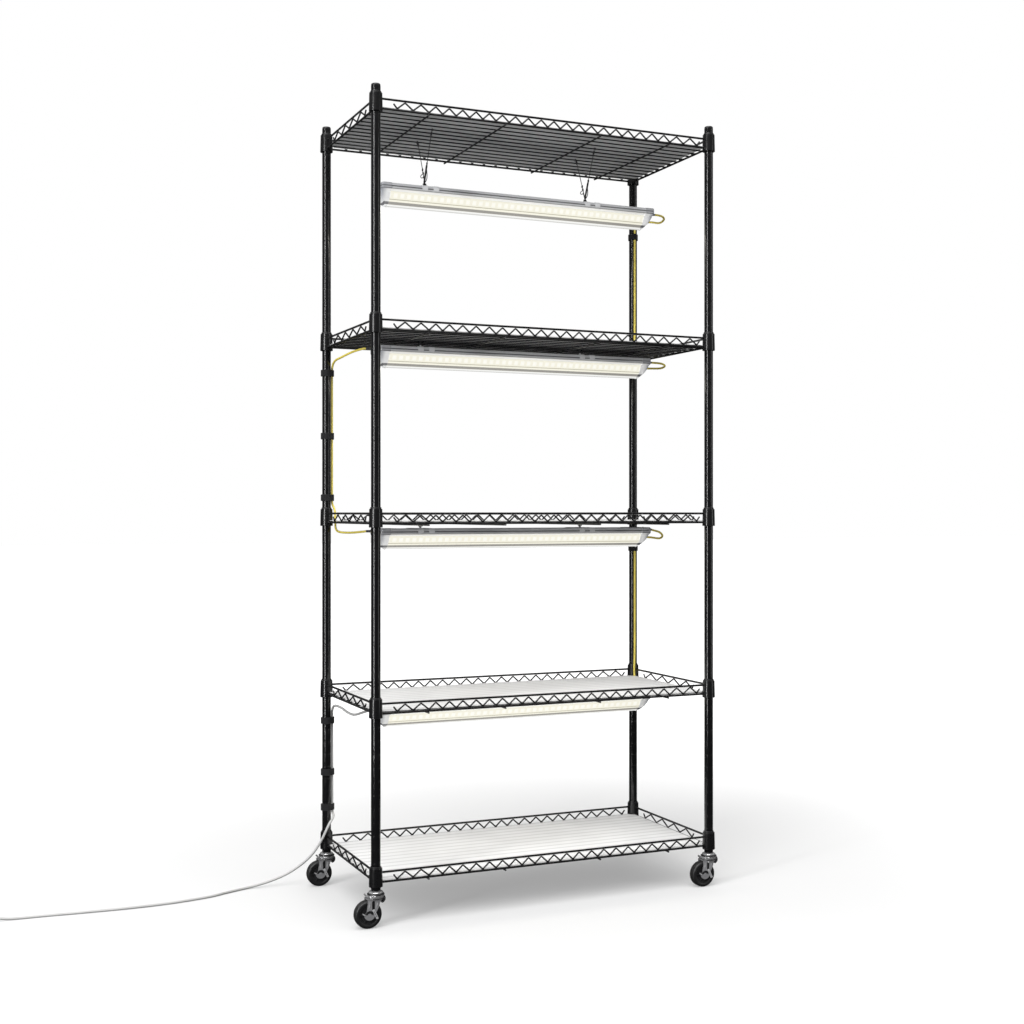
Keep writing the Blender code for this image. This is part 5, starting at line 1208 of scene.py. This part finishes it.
def wheel_mesh(rubber, hub):
    """A tyre with rounded shoulders on a dished hub with ribs."""
    shape = bmesh.new()
    half = WHEEL_WIDTH / 2
    tyre = [(18.2 * MM, half - 1.2 * MM), (19.6 * MM, half - 0.2 * MM), (22.6 * MM, half)]
    tyre += [(24.4 * MM, half - 0.9 * MM), (25.6 * MM, half - 2.6 * MM), (WHEEL_RADIUS, half - 5.0 * MM)]
    tyre += [(radius, -height) for radius, height in reversed(tyre)]
    lathe(shape, [(17.6 * MM, half - 2 * MM), *tyre, (17.6 * MM, 2 * MM - half)], 64, bored=True)
    core = [(3.0 * MM, half - 0.4 * MM), (6.2 * MM, half - 0.4 * MM), (6.9 * MM, half - 1.2 * MM)]
    core += [(7.2 * MM, half - 3.4 * MM), (16.0 * MM, half - 3.4 * MM), (16.8 * MM, half - 1.6 * MM)]
    core += [(17.9 * MM, half - 1.6 * MM)]
    core += [(radius, -height) for radius, height in reversed(core)]
    lathe(shape, core, 48, bored=True, slot=1)
    for number in range(6):
        for side in (-1, 1):
            rib = bmesh.new()
            low = side * (half - 3.6 * MM)
            ends = sorted((low, side * (half - 1.5 * MM)))
            block(rib, (6.5 * MM, -0.8 * MM, ends[0]), (16.8 * MM, 0.8 * MM, ends[1]), slot=1)
            softened(rib, 0.25 * MM)
            turned_to(rib, rib.verts, Matrix.Rotation(number * math.pi / 3, 4, "Z"))
            added(shape, rib)
    turned_to(shape, shape.verts, Matrix.Rotation(math.pi / 2, 4, "X"))
    return mesh_of("caster_wheel", shape, rubber, hub)


def brake_mesh(lever, bright, black):
    """A half-disc lever on a black cam that partly stands for painted shade above the lever, with a small tab
    at one side and a slotted pedal across the other.
    """
    shape = bmesh.new()
    near = BRAKE_NEAR
    far = near - BRAKE_THICKNESS
    plate = [*arc((0, 2.2 * MM), BRAKE_RADIUS, 176, 352, 28), *arc((0, 0), 3.9 * MM, 10, 160, 14)]
    hole = list(reversed(arc((0, 0), 2.95 * MM, 0, 345, 24)))
    pierced(shape, plate, hole, "Y", near, far)
    # The cam's black fills the dark band above the lever: partly a black part, partly painted shade under the
    # fork.
    cam = [*arc((0, 0), 9.2 * MM, 22, 166, 20), *arc((0, 0), 4.1 * MM, 166, 22, 16)]
    soft_bar(shape, 0.3 * MM, cam, "Y", far + 0.3 * MM, near, slot=2)
    tab = in_mm((-14.2, 4.9), (-13.4, 3.0), (-9.6, 0.6), (-8.2, 2.4), (-12.4, 5.2))
    soft_bar(shape, 0.3 * MM, tab, "Y", far - 0.7 * MM, near, slot=1)
    pedal = bmesh.new()
    half = 9.8 * MM
    outline = rounded_plate(2 * half, 4.4 * MM, 1.4 * MM, 6)
    slit = list(reversed(rounded_plate(1.3 * half, 1.2 * MM, 0.5 * MM, 4)))
    pierced(pedal, outline, slit, "Z", 0.9 * MM, 3.0 * MM, slot=1)
    softened(pedal, 0.25 * MM, least=math.radians(60))
    lay = laid((11.0 * MM, near, 2.0 * MM), "X") @ Matrix.Rotation(math.radians(-65), 4, "Z")
    turned_to(pedal, pedal.verts, lay)
    added(shape, pedal)
    boss = [(3.6 * MM, -far - 0.15 * MM), (3.4 * MM, -far + 0.15 * MM), (1.6 * MM, -far + 0.25 * MM)]
    turned_to(shape, lathe(shape, boss, 28), Matrix.Rotation(math.pi / 2, 4, "X"))
    return mesh_of("brake_lever", shape, lever, bright, black)


def make_casters():
    zinc = zinc_plate("fork_zinc", (0.36, 0.36, 0.37), 0.34, 0.4)
    # The brighter zinc is the plate of the washer, collar and axle, and on the fork's lip a painted
    # highlight.
    bright = zinc_plate("washer_zinc_and_lip_highlight", (0.82, 0.82, 0.83), 0.2, 0.85)
    tab_zinc = zinc_plate("tab_zinc", (0.6, 0.6, 0.61), 0.3, 0.4)
    dark = worn("race_black", (0.008, 0.008, 0.0085), 0.2, 300.0, 0.00002, coat_weight=0.6)
    hub = worn("hub_plastic", (0.014, 0.014, 0.015), 0.42, 500.0, 0.00003)
    lever = worn("lever_grey", (0.17, 0.17, 0.175), 0.4, 500.0, 0.00003, 0.12)
    cam_black_and_shade = worn("cam_black_and_shade", (0.008, 0.008, 0.0085), 0.45, 500.0, 0.00003)
    fork = fork_mesh(zinc, dark, bright)
    wheel = wheel_mesh(tyre_rubber(), hub)
    brake = brake_mesh(lever, tab_zinc, cam_black_and_shade)
    for corner, (x, y) in CORNERS.items():
        foot = (x, y, 0.0)
        axle = (x - TRAIL, y, WHEEL_RADIUS)
        for name, mesh, body, slot, node, at in (
            ("swivel_fork", fork, "caster", "zinc", "caster_fork", foot),
            ("rolling_wheel", wheel, "wheel", "black_rubber", "caster_wheel", axle),
            ("brake_pedal", brake, "brake", "grey_plastic", "caster_brake", axle),
        ):
            piece(f"{name}_{corner}", mesh, f"{body}_{corner}", (f"{node}_{corner}",), at)


# Lights

CHANNEL_HALF = in_mm(
    (32.6, 0.0), (33.9, -0.3), (34.9, -1.1), (35.4, -2.2), (35.5, -3.4), (35.5, -5.2), (34.3, -5.7),
    (34.3, -6.9), (35.5, -7.4), (35.5, -10.4), (35.1, -11.0), (26.3, -14.4), (25.2, -14.6),
    (24.6, -14.4), (24.6, -2.5),
)
LED_CARRIER_HALF = in_mm((12, -2.5), (12, -5))
DIFFUSER_HALF = in_mm(
    (26.0, -14.9), (25.2, -16.6), (22.4, -22.2), (18.6, -28.7), (18.8, -29.2), (18.2, -30.0), (17.3, -30.2),
    (13.6, -33.0), (13.5, -33.4), (7.4, -37.6), (7.2, -38.1), (4.0, -40.3), (0.0, -41.5),
)
GLAND = in_mm((6.2, -1.0), (6.2, 0.12), (5.4, 0.25), (3.6, 0.25), (3.6, -1.0))


def diffuser_mesh(diffuser):
    """The milky cover, a shell of even wall."""
    inner = []
    for y, z in DIFFUSER_HALF:
        length = math.hypot(y, z + DIFFUSER_TOP)
        share = 1 - DIFFUSER_WALL / max(length, DIFFUSER_WALL * 4)
        inner.append((y * share, (z + DIFFUSER_TOP) * share - DIFFUSER_TOP))
    outline = [*mirrored(DIFFUSER_HALF), *((-y, z) for y, z in inner if y), *reversed(inner)]
    end = LIGHT_LENGTH / 2 - CAP_LENGTH + 0.2 * MM
    shape = bmesh.new()
    bar(shape, outline, "X", -end, end)
    return mesh_of("light_cover", shape, diffuser)


def cap_half():
    """Half outline of an end cap, a little proud of the channel and the cover."""
    half = [(0.0, CAP_PROUD), (33.2 * MM, CAP_PROUD)]
    half += in_mm((34.8, 0.1), (35.8, -1.2), (36.1, -3.0), (36.1, -10.6), (35.4, -11.7), (27.4, -15.4))
    half += in_mm((25.8, -17.6), (23.0, -22.6), (19.0, -29.6), (14.1, -33.8), (7.8, -38.4), (4.2, -41.0))
    return [*half, (0.0, -CAP_BOTTOM)]


def cap_mesh_into(shape, side):
    """An end cap whose end face runs in towards the bottom and rounds off at its rim."""
    outer_x = LIGHT_LENGTH / 2
    stations = ((CAP_LENGTH, 1.0, 0.0), (8 * MM, 1.0, 0.55), (3.4 * MM, 1.0, 0.86), (1.6 * MM, 0.985, 0.95))
    stations += ((0.5 * MM, 0.955, 0.99), (0.0, 0.91, 1.0))
    rings = []
    for back, size, curved in stations:
        ring = []
        for y, z in mirrored(cap_half()):
            share = max(0.0, (-CHANNEL_TOP - z) / (CAP_BOTTOM - CHANNEL_TOP))
            x = outer_x - back - CAP_CURVE * share**2 * curved
            ring.append((side * x, y * size, -CAP_MIDDLE + (z + CAP_MIDDLE) * size))
        rings.append(ring_of(shape, ring))
    skin(shape, rings, slot=1)


def clip_band(proud):
    """Outline of a clip's spring band over the channel, this far proud of it."""
    side = LIGHT_HALF_WIDTH + proud
    half = [(side, -8.5 * MM), (side, -2.0 * MM), (34.6 * MM + proud, -0.6 * MM)]
    return mirrored([*half, (33.2 * MM + proud / 2, proud)])


def clip_into(shape, x):
    """A spring clip: two lobes with hooked feet, a bridge between them and the eye plate on it."""
    for lobe in (-1, 1):
        ends = sorted((x + lobe * CLIP_HALF, x + lobe * CLIP_GAP))
        outline = [*clip_band(CLIP_PROUD), *reversed(clip_band(-0.3 * MM))]
        soft_bar(shape, 0.3 * MM, outline, "X", *ends, slot=2)
        hook = bmesh.new()
        for side in (-1, 1):
            inner_y, outer_y = sorted((side * 33.9 * MM, side * 36.2 * MM))
            low = (ends[0] + 2 * MM, inner_y, -9.6 * MM)
            block(hook, low, (ends[1] - 2 * MM, outer_y, -8.1 * MM), slot=2)
        added(shape, softened(hook, 0.3 * MM))
    soft_block(shape, 0.3 * MM, (x - 6 * MM, -7 * MM, -0.5 * MM), (x + 6 * MM, 7 * MM, CLIP_PROUD), slot=2)
    eye = [(y, z + EYE_RISE) for y, z in eye_plate()]
    hole = [(y, z + EYE_RISE) for y, z in arc((0, 0), 1.25 * MM, 0, 342, 20)]
    pierced(shape, eye, hole, "X", x - 0.8 * MM, x + 0.8 * MM, slot=2)


def housing_mesh(shift, channel, cap, clip, dark):
    """The channel with its end caps, the clips with their eye plates, and the cable glands."""
    shape = bmesh.new()
    end = LIGHT_LENGTH / 2 - CAP_LENGTH + 0.4 * MM
    bar(shape, mirrored([*CHANNEL_HALF, *LED_CARRIER_HALF]), "X", -end, end)
    for side in (-1, 1):
        cap_mesh_into(shape, side)
        ends = sorted((side * (LIGHT_LENGTH / 2 - CAP_LIP), side * (end - 0.2 * MM)))
        low = (ends[0], -30.5 * MM, -0.3 * MM)
        soft_block(shape, 0.25 * MM, low, (ends[1], 30.5 * MM, CAP_PROUD), slot=1)
        points = lathe(shape, GLAND, 28, bored=True, slot=3)
        turned_to(shape, points, laid((side * LIGHT_LENGTH / 2, 0, -SOCKET_DROP), "Y", side))
    for place_x in CLIP_PLACES.values():
        clip_into(shape, place_x - shift)
    return mesh_of("light_bar", shape, channel, cap, clip, dark)


def eye_plate():
    """Side view of an eye plate: a round head on a straight foot."""
    radius = 3.6 * MM
    foot = -EYE_RISE + 0.5 * MM
    return [*arc((0, 0), radius, 0, 180, 20), (-radius - 0.6 * MM, foot), (radius + 0.6 * MM, foot)]


# Hangers, from the eye that they pass through

def wrapped(shape, start, run, length, radius, turns):
    """A short close winding of the hanger's wire round itself."""
    run = Vector(run).normalized()
    across = run.orthogonal().normalized()
    count = round(turns * 12)
    points = []
    for number in range(count + 1):
        share = number / count
        spin = Quaternion(run, 2 * math.pi * turns * share) @ across
        points.append(Vector(start) + run * (length * share) + spin * radius)
    sweep(shape, points, HANGER_RADIUS * 0.9, 8)


def hook_points(wire_y, wire_z):
    """Over a deck wire, from its near side to a short return."""
    reach = DECK_RADIUS + HANGER_RADIUS + 0.1 * MM
    side = 1 if wire_y >= 0 else -1
    over = arc((wire_y, wire_z), reach, *((180, 0) if side > 0 else (0, 180)), 11)
    end = (wire_y + side * (reach + 0.2 * MM), wire_z - 3.2 * MM)
    return [*over, (wire_y + side * reach, wire_z - 1.6 * MM), end]


# The free tail beside the grip, from its foot, and the loop below the other strand's ferrule, in mm
GRIP_TAIL = (
    (0.0, 0.0, 0.0), (2.4, -2.0, 2.6), (4.2, -3.6, 8.0),
    (4.6, -4.6, 14.0), (4.0, -5.2, 20.0), (3.0, -6.6, 25.5),
)
STRAND_LOOP = (
    (0.0, 0.0, 0.0), (-2.6, 1.8, -0.6), (-4.4, 3.4, -3.4),
    (-3.6, 3.4, -6.6), (-1.2, 0.6, -7.0), (0.0, -0.8, -4.4),
)


def strand_loop(shape, start, spots):
    """A loose end of a strand on a smooth curve through spots beside its start."""
    loop = [start + Vector(spot) * MM for spot in spots]
    sweep(shape, [tuple(point) for point in smooth_path(loop, 1 * MM)], HANGER_RADIUS, 8)


def v_hanger_mesh(rise, black, grip):
    """Two strands that meet in the clip's eye, each hooked over its own deck wire."""
    shape = bmesh.new()
    half = 2.4 * MM
    for side in (-1, 1):
        hook = hook_points(side * HANGER_SPREAD, rise)
        x = side * half
        foot = Vector((x, 0.0, 0.0))
        near = Vector((x, *hook[0]))
        run = (near - foot).normalized()
        strand = [foot, foot + run * 6 * MM, near - run * 4 * MM, near]
        strand += [(x, y, z) for y, z in hook[1:]]
        sweep(shape, strand, HANGER_RADIUS, 10)
        wrapped(shape, near - run * 11 * MM, run, 7 * MM, 1.45 * MM, 4)
        wrapped(shape, foot + run * 2.6 * MM, run, 6.0 * MM, 1.9 * MM, 4)
        if side < 0:
            start = foot + run * 9 * MM
            sweep(shape, [start, start + run * 36 * MM], 1.9 * MM, 16, slot=1, ease=0.5)
            strand_loop(shape, start, GRIP_TAIL)
            wire_ring(shape, start + run * 38.5 * MM, run, 2.6 * MM)
        else:
            wire_ring(shape, foot + run * 44 * MM, run, 2.5 * MM)
            sweep(shape, [foot + run * 33 * MM, foot + run * 39 * MM], 1.7 * MM, 14, slot=1, ease=0.5)
            strand_loop(shape, foot + run * 33 * MM, STRAND_LOOP)
            beside = across_of(run)
            twin = [foot + run * 8 * MM, foot + run * 14 * MM + beside, foot + run * 27 * MM + beside]
            sweep(shape, [*twin, foot + run * 33 * MM], HANGER_RADIUS * 0.9, 8)
    sweep(shape, eased([(-half, 0, 0), (half, 0, 0)], 1 * MM, 2), HANGER_RADIUS, 10)
    return mesh_of("strand_hanger", shape, black, grip)


def across_of(run):
    """A small step to the side of a strand."""
    return run.cross(Vector((1, 0, 0))).normalized() * 1.5 * MM


def wire_ring(shape, centre, run, radius):
    """A split ring that the strand passes through, standing along it."""
    side = run.cross(Vector((1, 0, 0))).normalized()
    points = []
    for number in range(21):
        angle = 2 * math.pi * number / 21
        points.append(centre + (run * math.cos(angle) + side * math.sin(angle)) * radius)
    sweep(shape, points, HANGER_RADIUS, 8)


def arch_hanger_mesh(rise, black, grip):
    """A wire arch through the clip's eye that hooks over the deck wire."""
    shape = bmesh.new()
    half = 4.4 * MM
    reach = DECK_RADIUS + HANGER_RADIUS + 0.15 * MM
    for side in (-1, 1):
        x = side * half
        leg = eased([(side * 0.1 * MM, 0, 0), (x, 0, 0), (x, -reach, rise * 0.55)], 1.5 * MM, 4)[:-1]
        over = [(x, -reach, rise * 0.55), *((x, y, z) for y, z in arc((0, rise), reach, 180, 20, 9))]
        sweep(shape, leg + [Vector(point) for point in over], HANGER_RADIUS, 10)
    bridge = [(x, reach * 0.94, rise + reach * 0.34) for x in (-half, half)]
    sweep(shape, bridge, HANGER_RADIUS, 10)
    return mesh_of("arch_hanger", shape, black, grip)


def make_lights():
    channel = drawn_channel()
    cap = clear_cap()
    clip = worn("clip_white", (0.86, 0.865, 0.88), 0.24, 500.0, 0.00002, 0.04, coat_weight=0.4)
    dark = worn("gland_grey", (0.16, 0.165, 0.17), 0.4, 500.0, 0.00002)
    black = worn("hanger_wire", (0.013, 0.013, 0.014), 0.34, 600.0, 0.00002)
    grip = worn("hanger_grip", (0.010, 0.010, 0.011), 0.5, 600.0, 0.00002)
    cover = diffuser_mesh(lit_diffuser())
    housings = {}
    for number, (top, (x, y)) in enumerate(zip(LIGHT_TOPS, LIGHT_PLACES), 1):
        body = f"light_{number}"
        if x not in housings:
            housings[x] = housing_mesh(x, channel, cap, clip, dark)
        at = (x, y, top)
        piece(f"light_bar_{number}", housings[x], body, (f"light_housing_{number}",), at)
        piece(f"light_cover_{number}", cover, body, (f"light_diffuser_{number}",), at)
        rise = SHELF_HEIGHTS[number - 1] - top - EYE_RISE
        hanger = v_hanger_mesh(rise, black, grip) if number == 1 else arch_hanger_mesh(rise, black, grip)
        for side, place_x in CLIP_PLACES.items():
            name = f"hanger_{number}_{side}"
            piece(f"wire_{name}", hanger, "rack", (name,), (place_x, y, top + EYE_RISE))


# Link cables and straps

LINK_ROUTES = {
    "1_2": (
        (1, 1), (2, 1),
        (0.3292, -0.0108, 1.4182), (0.3450, -0.0020, 1.4182), (0.3600, 0.0180, 1.4168),
        (0.3640, 0.0450, 1.4150), (0.3610, 0.0800, 1.4230), (0.3598, 0.1150, 1.4275),
        (0.3602, 0.1350, 1.4290), (0.3605, 0.1475, 1.4245), (0.3605, 0.1507, 1.4150),
        (0.3605, 0.1507, 1.3900), (0.3605, 0.1507, 1.2800), (0.3600, 0.1500, 1.2000),
        (0.3580, 0.1475, 1.1600), (0.3568, 0.1462, 1.1280), (0.3580, 0.1400, 1.1080),
        (0.3600, 0.1150, 1.1000), (0.3610, 0.0750, 1.0955), (0.3650, 0.0400, 1.0930),
        (0.3630, 0.0190, 1.0960), (0.3500, 0.0128, 1.1000),
    ),
    "2_3": (
        (2, -1), (3, -1),
        (-0.3300, 0.0170, 1.1010), (-0.3430, 0.0480, 1.0970), (-0.3520, 0.0950, 1.0905),
        (-0.3530, 0.1280, 1.0880), (-0.3515, 0.1510, 1.0830), (-0.3507, 0.1615, 1.0740),
        (-0.3507, 0.1625, 1.0640), (-0.3507, 0.1625, 1.0200), (-0.3507, 0.1625, 0.9330),
        (-0.3507, 0.1625, 0.8300), (-0.3507, 0.1625, 0.7980), (-0.3496, 0.1616, 0.7900),
        (-0.3468, 0.1590, 0.7825), (-0.3457, 0.1570, 0.7720), (-0.3457, 0.1555, 0.7550),
        (-0.3460, 0.1500, 0.7400), (-0.3450, 0.1250, 0.7340), (-0.3400, 0.0700, 0.7335),
        (-0.3330, 0.0250, 0.7355),
    ),
    "3_4": (
        (3, 1), (4, 1),
        (0.3300, 0.0128, 0.7355), (0.3480, 0.0160, 0.7310), (0.3610, 0.0260, 0.7230),
        (0.3640, 0.0450, 0.7170), (0.3605, 0.0750, 0.7185), (0.3595, 0.1100, 0.7190),
        (0.3602, 0.1350, 0.7190), (0.3605, 0.1475, 0.7145), (0.3605, 0.1507, 0.7050),
        (0.3605, 0.1507, 0.6800), (0.3605, 0.1507, 0.5600), (0.3600, 0.1500, 0.4800),
        (0.3580, 0.1475, 0.4400), (0.3568, 0.1462, 0.4080), (0.3580, 0.1400, 0.3880),
        (0.3600, 0.1150, 0.3800), (0.3610, 0.0750, 0.3755), (0.3650, 0.0400, 0.3730),
        (0.3630, 0.0190, 0.3760), (0.3500, 0.0128, 0.3800),
    ),
}
CONNECTOR = in_mm(
    (2.55, 0.0), (2.6, 0.3), (2.6, 9), (2.1, 9.4), (2.1, 10.2),
    (2.55, 10.6), (2.5, 17.4), (2.3, 19.6), (2.2, 20.2),
)
STRAPS = (
    ("rear_left", LINK_DIAMETER, (1064 * MM, 933 * MM, 805 * MM)),
    ("rear_left", CORD, (342 * MM, 235 * MM, 162 * MM)),
    ("rear_right", LINK_DIAMETER, (1403 * MM, 693 * MM)),
)


def link_mesh(name, start, start_side, route, end, end_side, yellow, dark):
    """A yellow cable with a stepped connector at each end."""
    shape = bmesh.new()
    knots = [(start[0] + start_side * CONNECTOR_LENGTH, *start[1:]), *route]
    knots.append((end[0] + end_side * CONNECTOR_LENGTH, *end[1:]))
    path = [tuple(point) for point in smooth_path(knots, LINK_DIAMETER)]
    sweep(shape, path, LINK_DIAMETER / 2, 16)
    for place, side in ((start, start_side), (end, end_side)):
        turned_to(shape, lathe(shape, CONNECTOR, 24, slot=1), laid(place, "Y", side))
    return mesh_of(name, shape, yellow, dark)


def belt(first, first_radius, second, second_radius):
    """Outline of the belt round two circles."""
    dx = second[0] - first[0]
    dy = second[1] - first[1]
    heading = math.degrees(math.atan2(dy, dx))
    lean = math.degrees(math.acos((first_radius - second_radius) / math.hypot(dx, dy)))
    back = arc(first, first_radius, heading + lean, heading + 360 - lean, 40)
    return [*back, *arc(second, second_radius, heading - lean, heading + lean, 14)]


def strap_mesh(offset, diameter, weave):
    """A soft strap round a post and the cable beside it, with its free end lapped over."""
    shape = bmesh.new()
    post = POST_RADIUS + 0.35 * MM
    held = diameter / 2 + 0.35 * MM
    half = STRAP_HEIGHT / 2
    ease = 0.4 * MM
    sections = [(0.0, half - ease), (ease, half), (STRAP_THICKNESS - ease, half)]
    sections.append((STRAP_THICKNESS, half - ease))
    rings = []
    for proud, height in [*sections, *((proud, -height) for proud, height in reversed(sections))]:
        outline = belt((0, 0), post + proud, offset, held + proud)
        rings.append(ring_of(shape, [(x, y, height) for x, y in outline]))
    skin(shape, rings, closed=True)
    heading = math.degrees(math.atan2(offset[1], offset[0]))
    lap = arc((0, 0), post + STRAP_THICKNESS + 0.9 * MM, heading + 140, heading + 225, 16)
    lap += reversed(arc((0, 0), post + STRAP_THICKNESS - 0.3 * MM, heading + 140, heading + 225, 16))
    soft_bar(shape, 0.3 * MM, lap, "Z", -half + 0.4 * MM, half - 0.4 * MM)
    return mesh_of("strap", shape, weave)


def make_cables():
    yellow = jacket("yellow_jacket", (0.80, 0.66, 0.12), 0.42)
    dark = worn("connector_grey", (0.10, 0.10, 0.105), 0.42, 600.0, 0.00002)
    weave = strap_weave()
    for name, (start, end, *route) in LINK_ROUTES.items():
        mesh = link_mesh(
            f"link_{name}", light_socket(*start), start[1], route, light_socket(*end), end[1], yellow, dark
        )
        piece(f"light_link_{name}", mesh, "rack", (f"link_cable_{name}",))
    number = 0
    for corner, diameter, heights in STRAPS:
        reach = POST_RADIUS + diameter / 2 + 0.6 * MM
        offset = (reach, 0.0) if corner == "rear_left" else (-2 * MM, -reach)
        mesh = strap_mesh(offset, diameter, weave)
        for height in heights:
            number += 1
            name = f"cable_strap_{number}"
            piece(f"wrap_{name}", mesh, "rack", (name,), (*CORNERS[corner], height))


make_studio()
make_power()
make_rack()
make_casters()
make_lights()
make_cables()
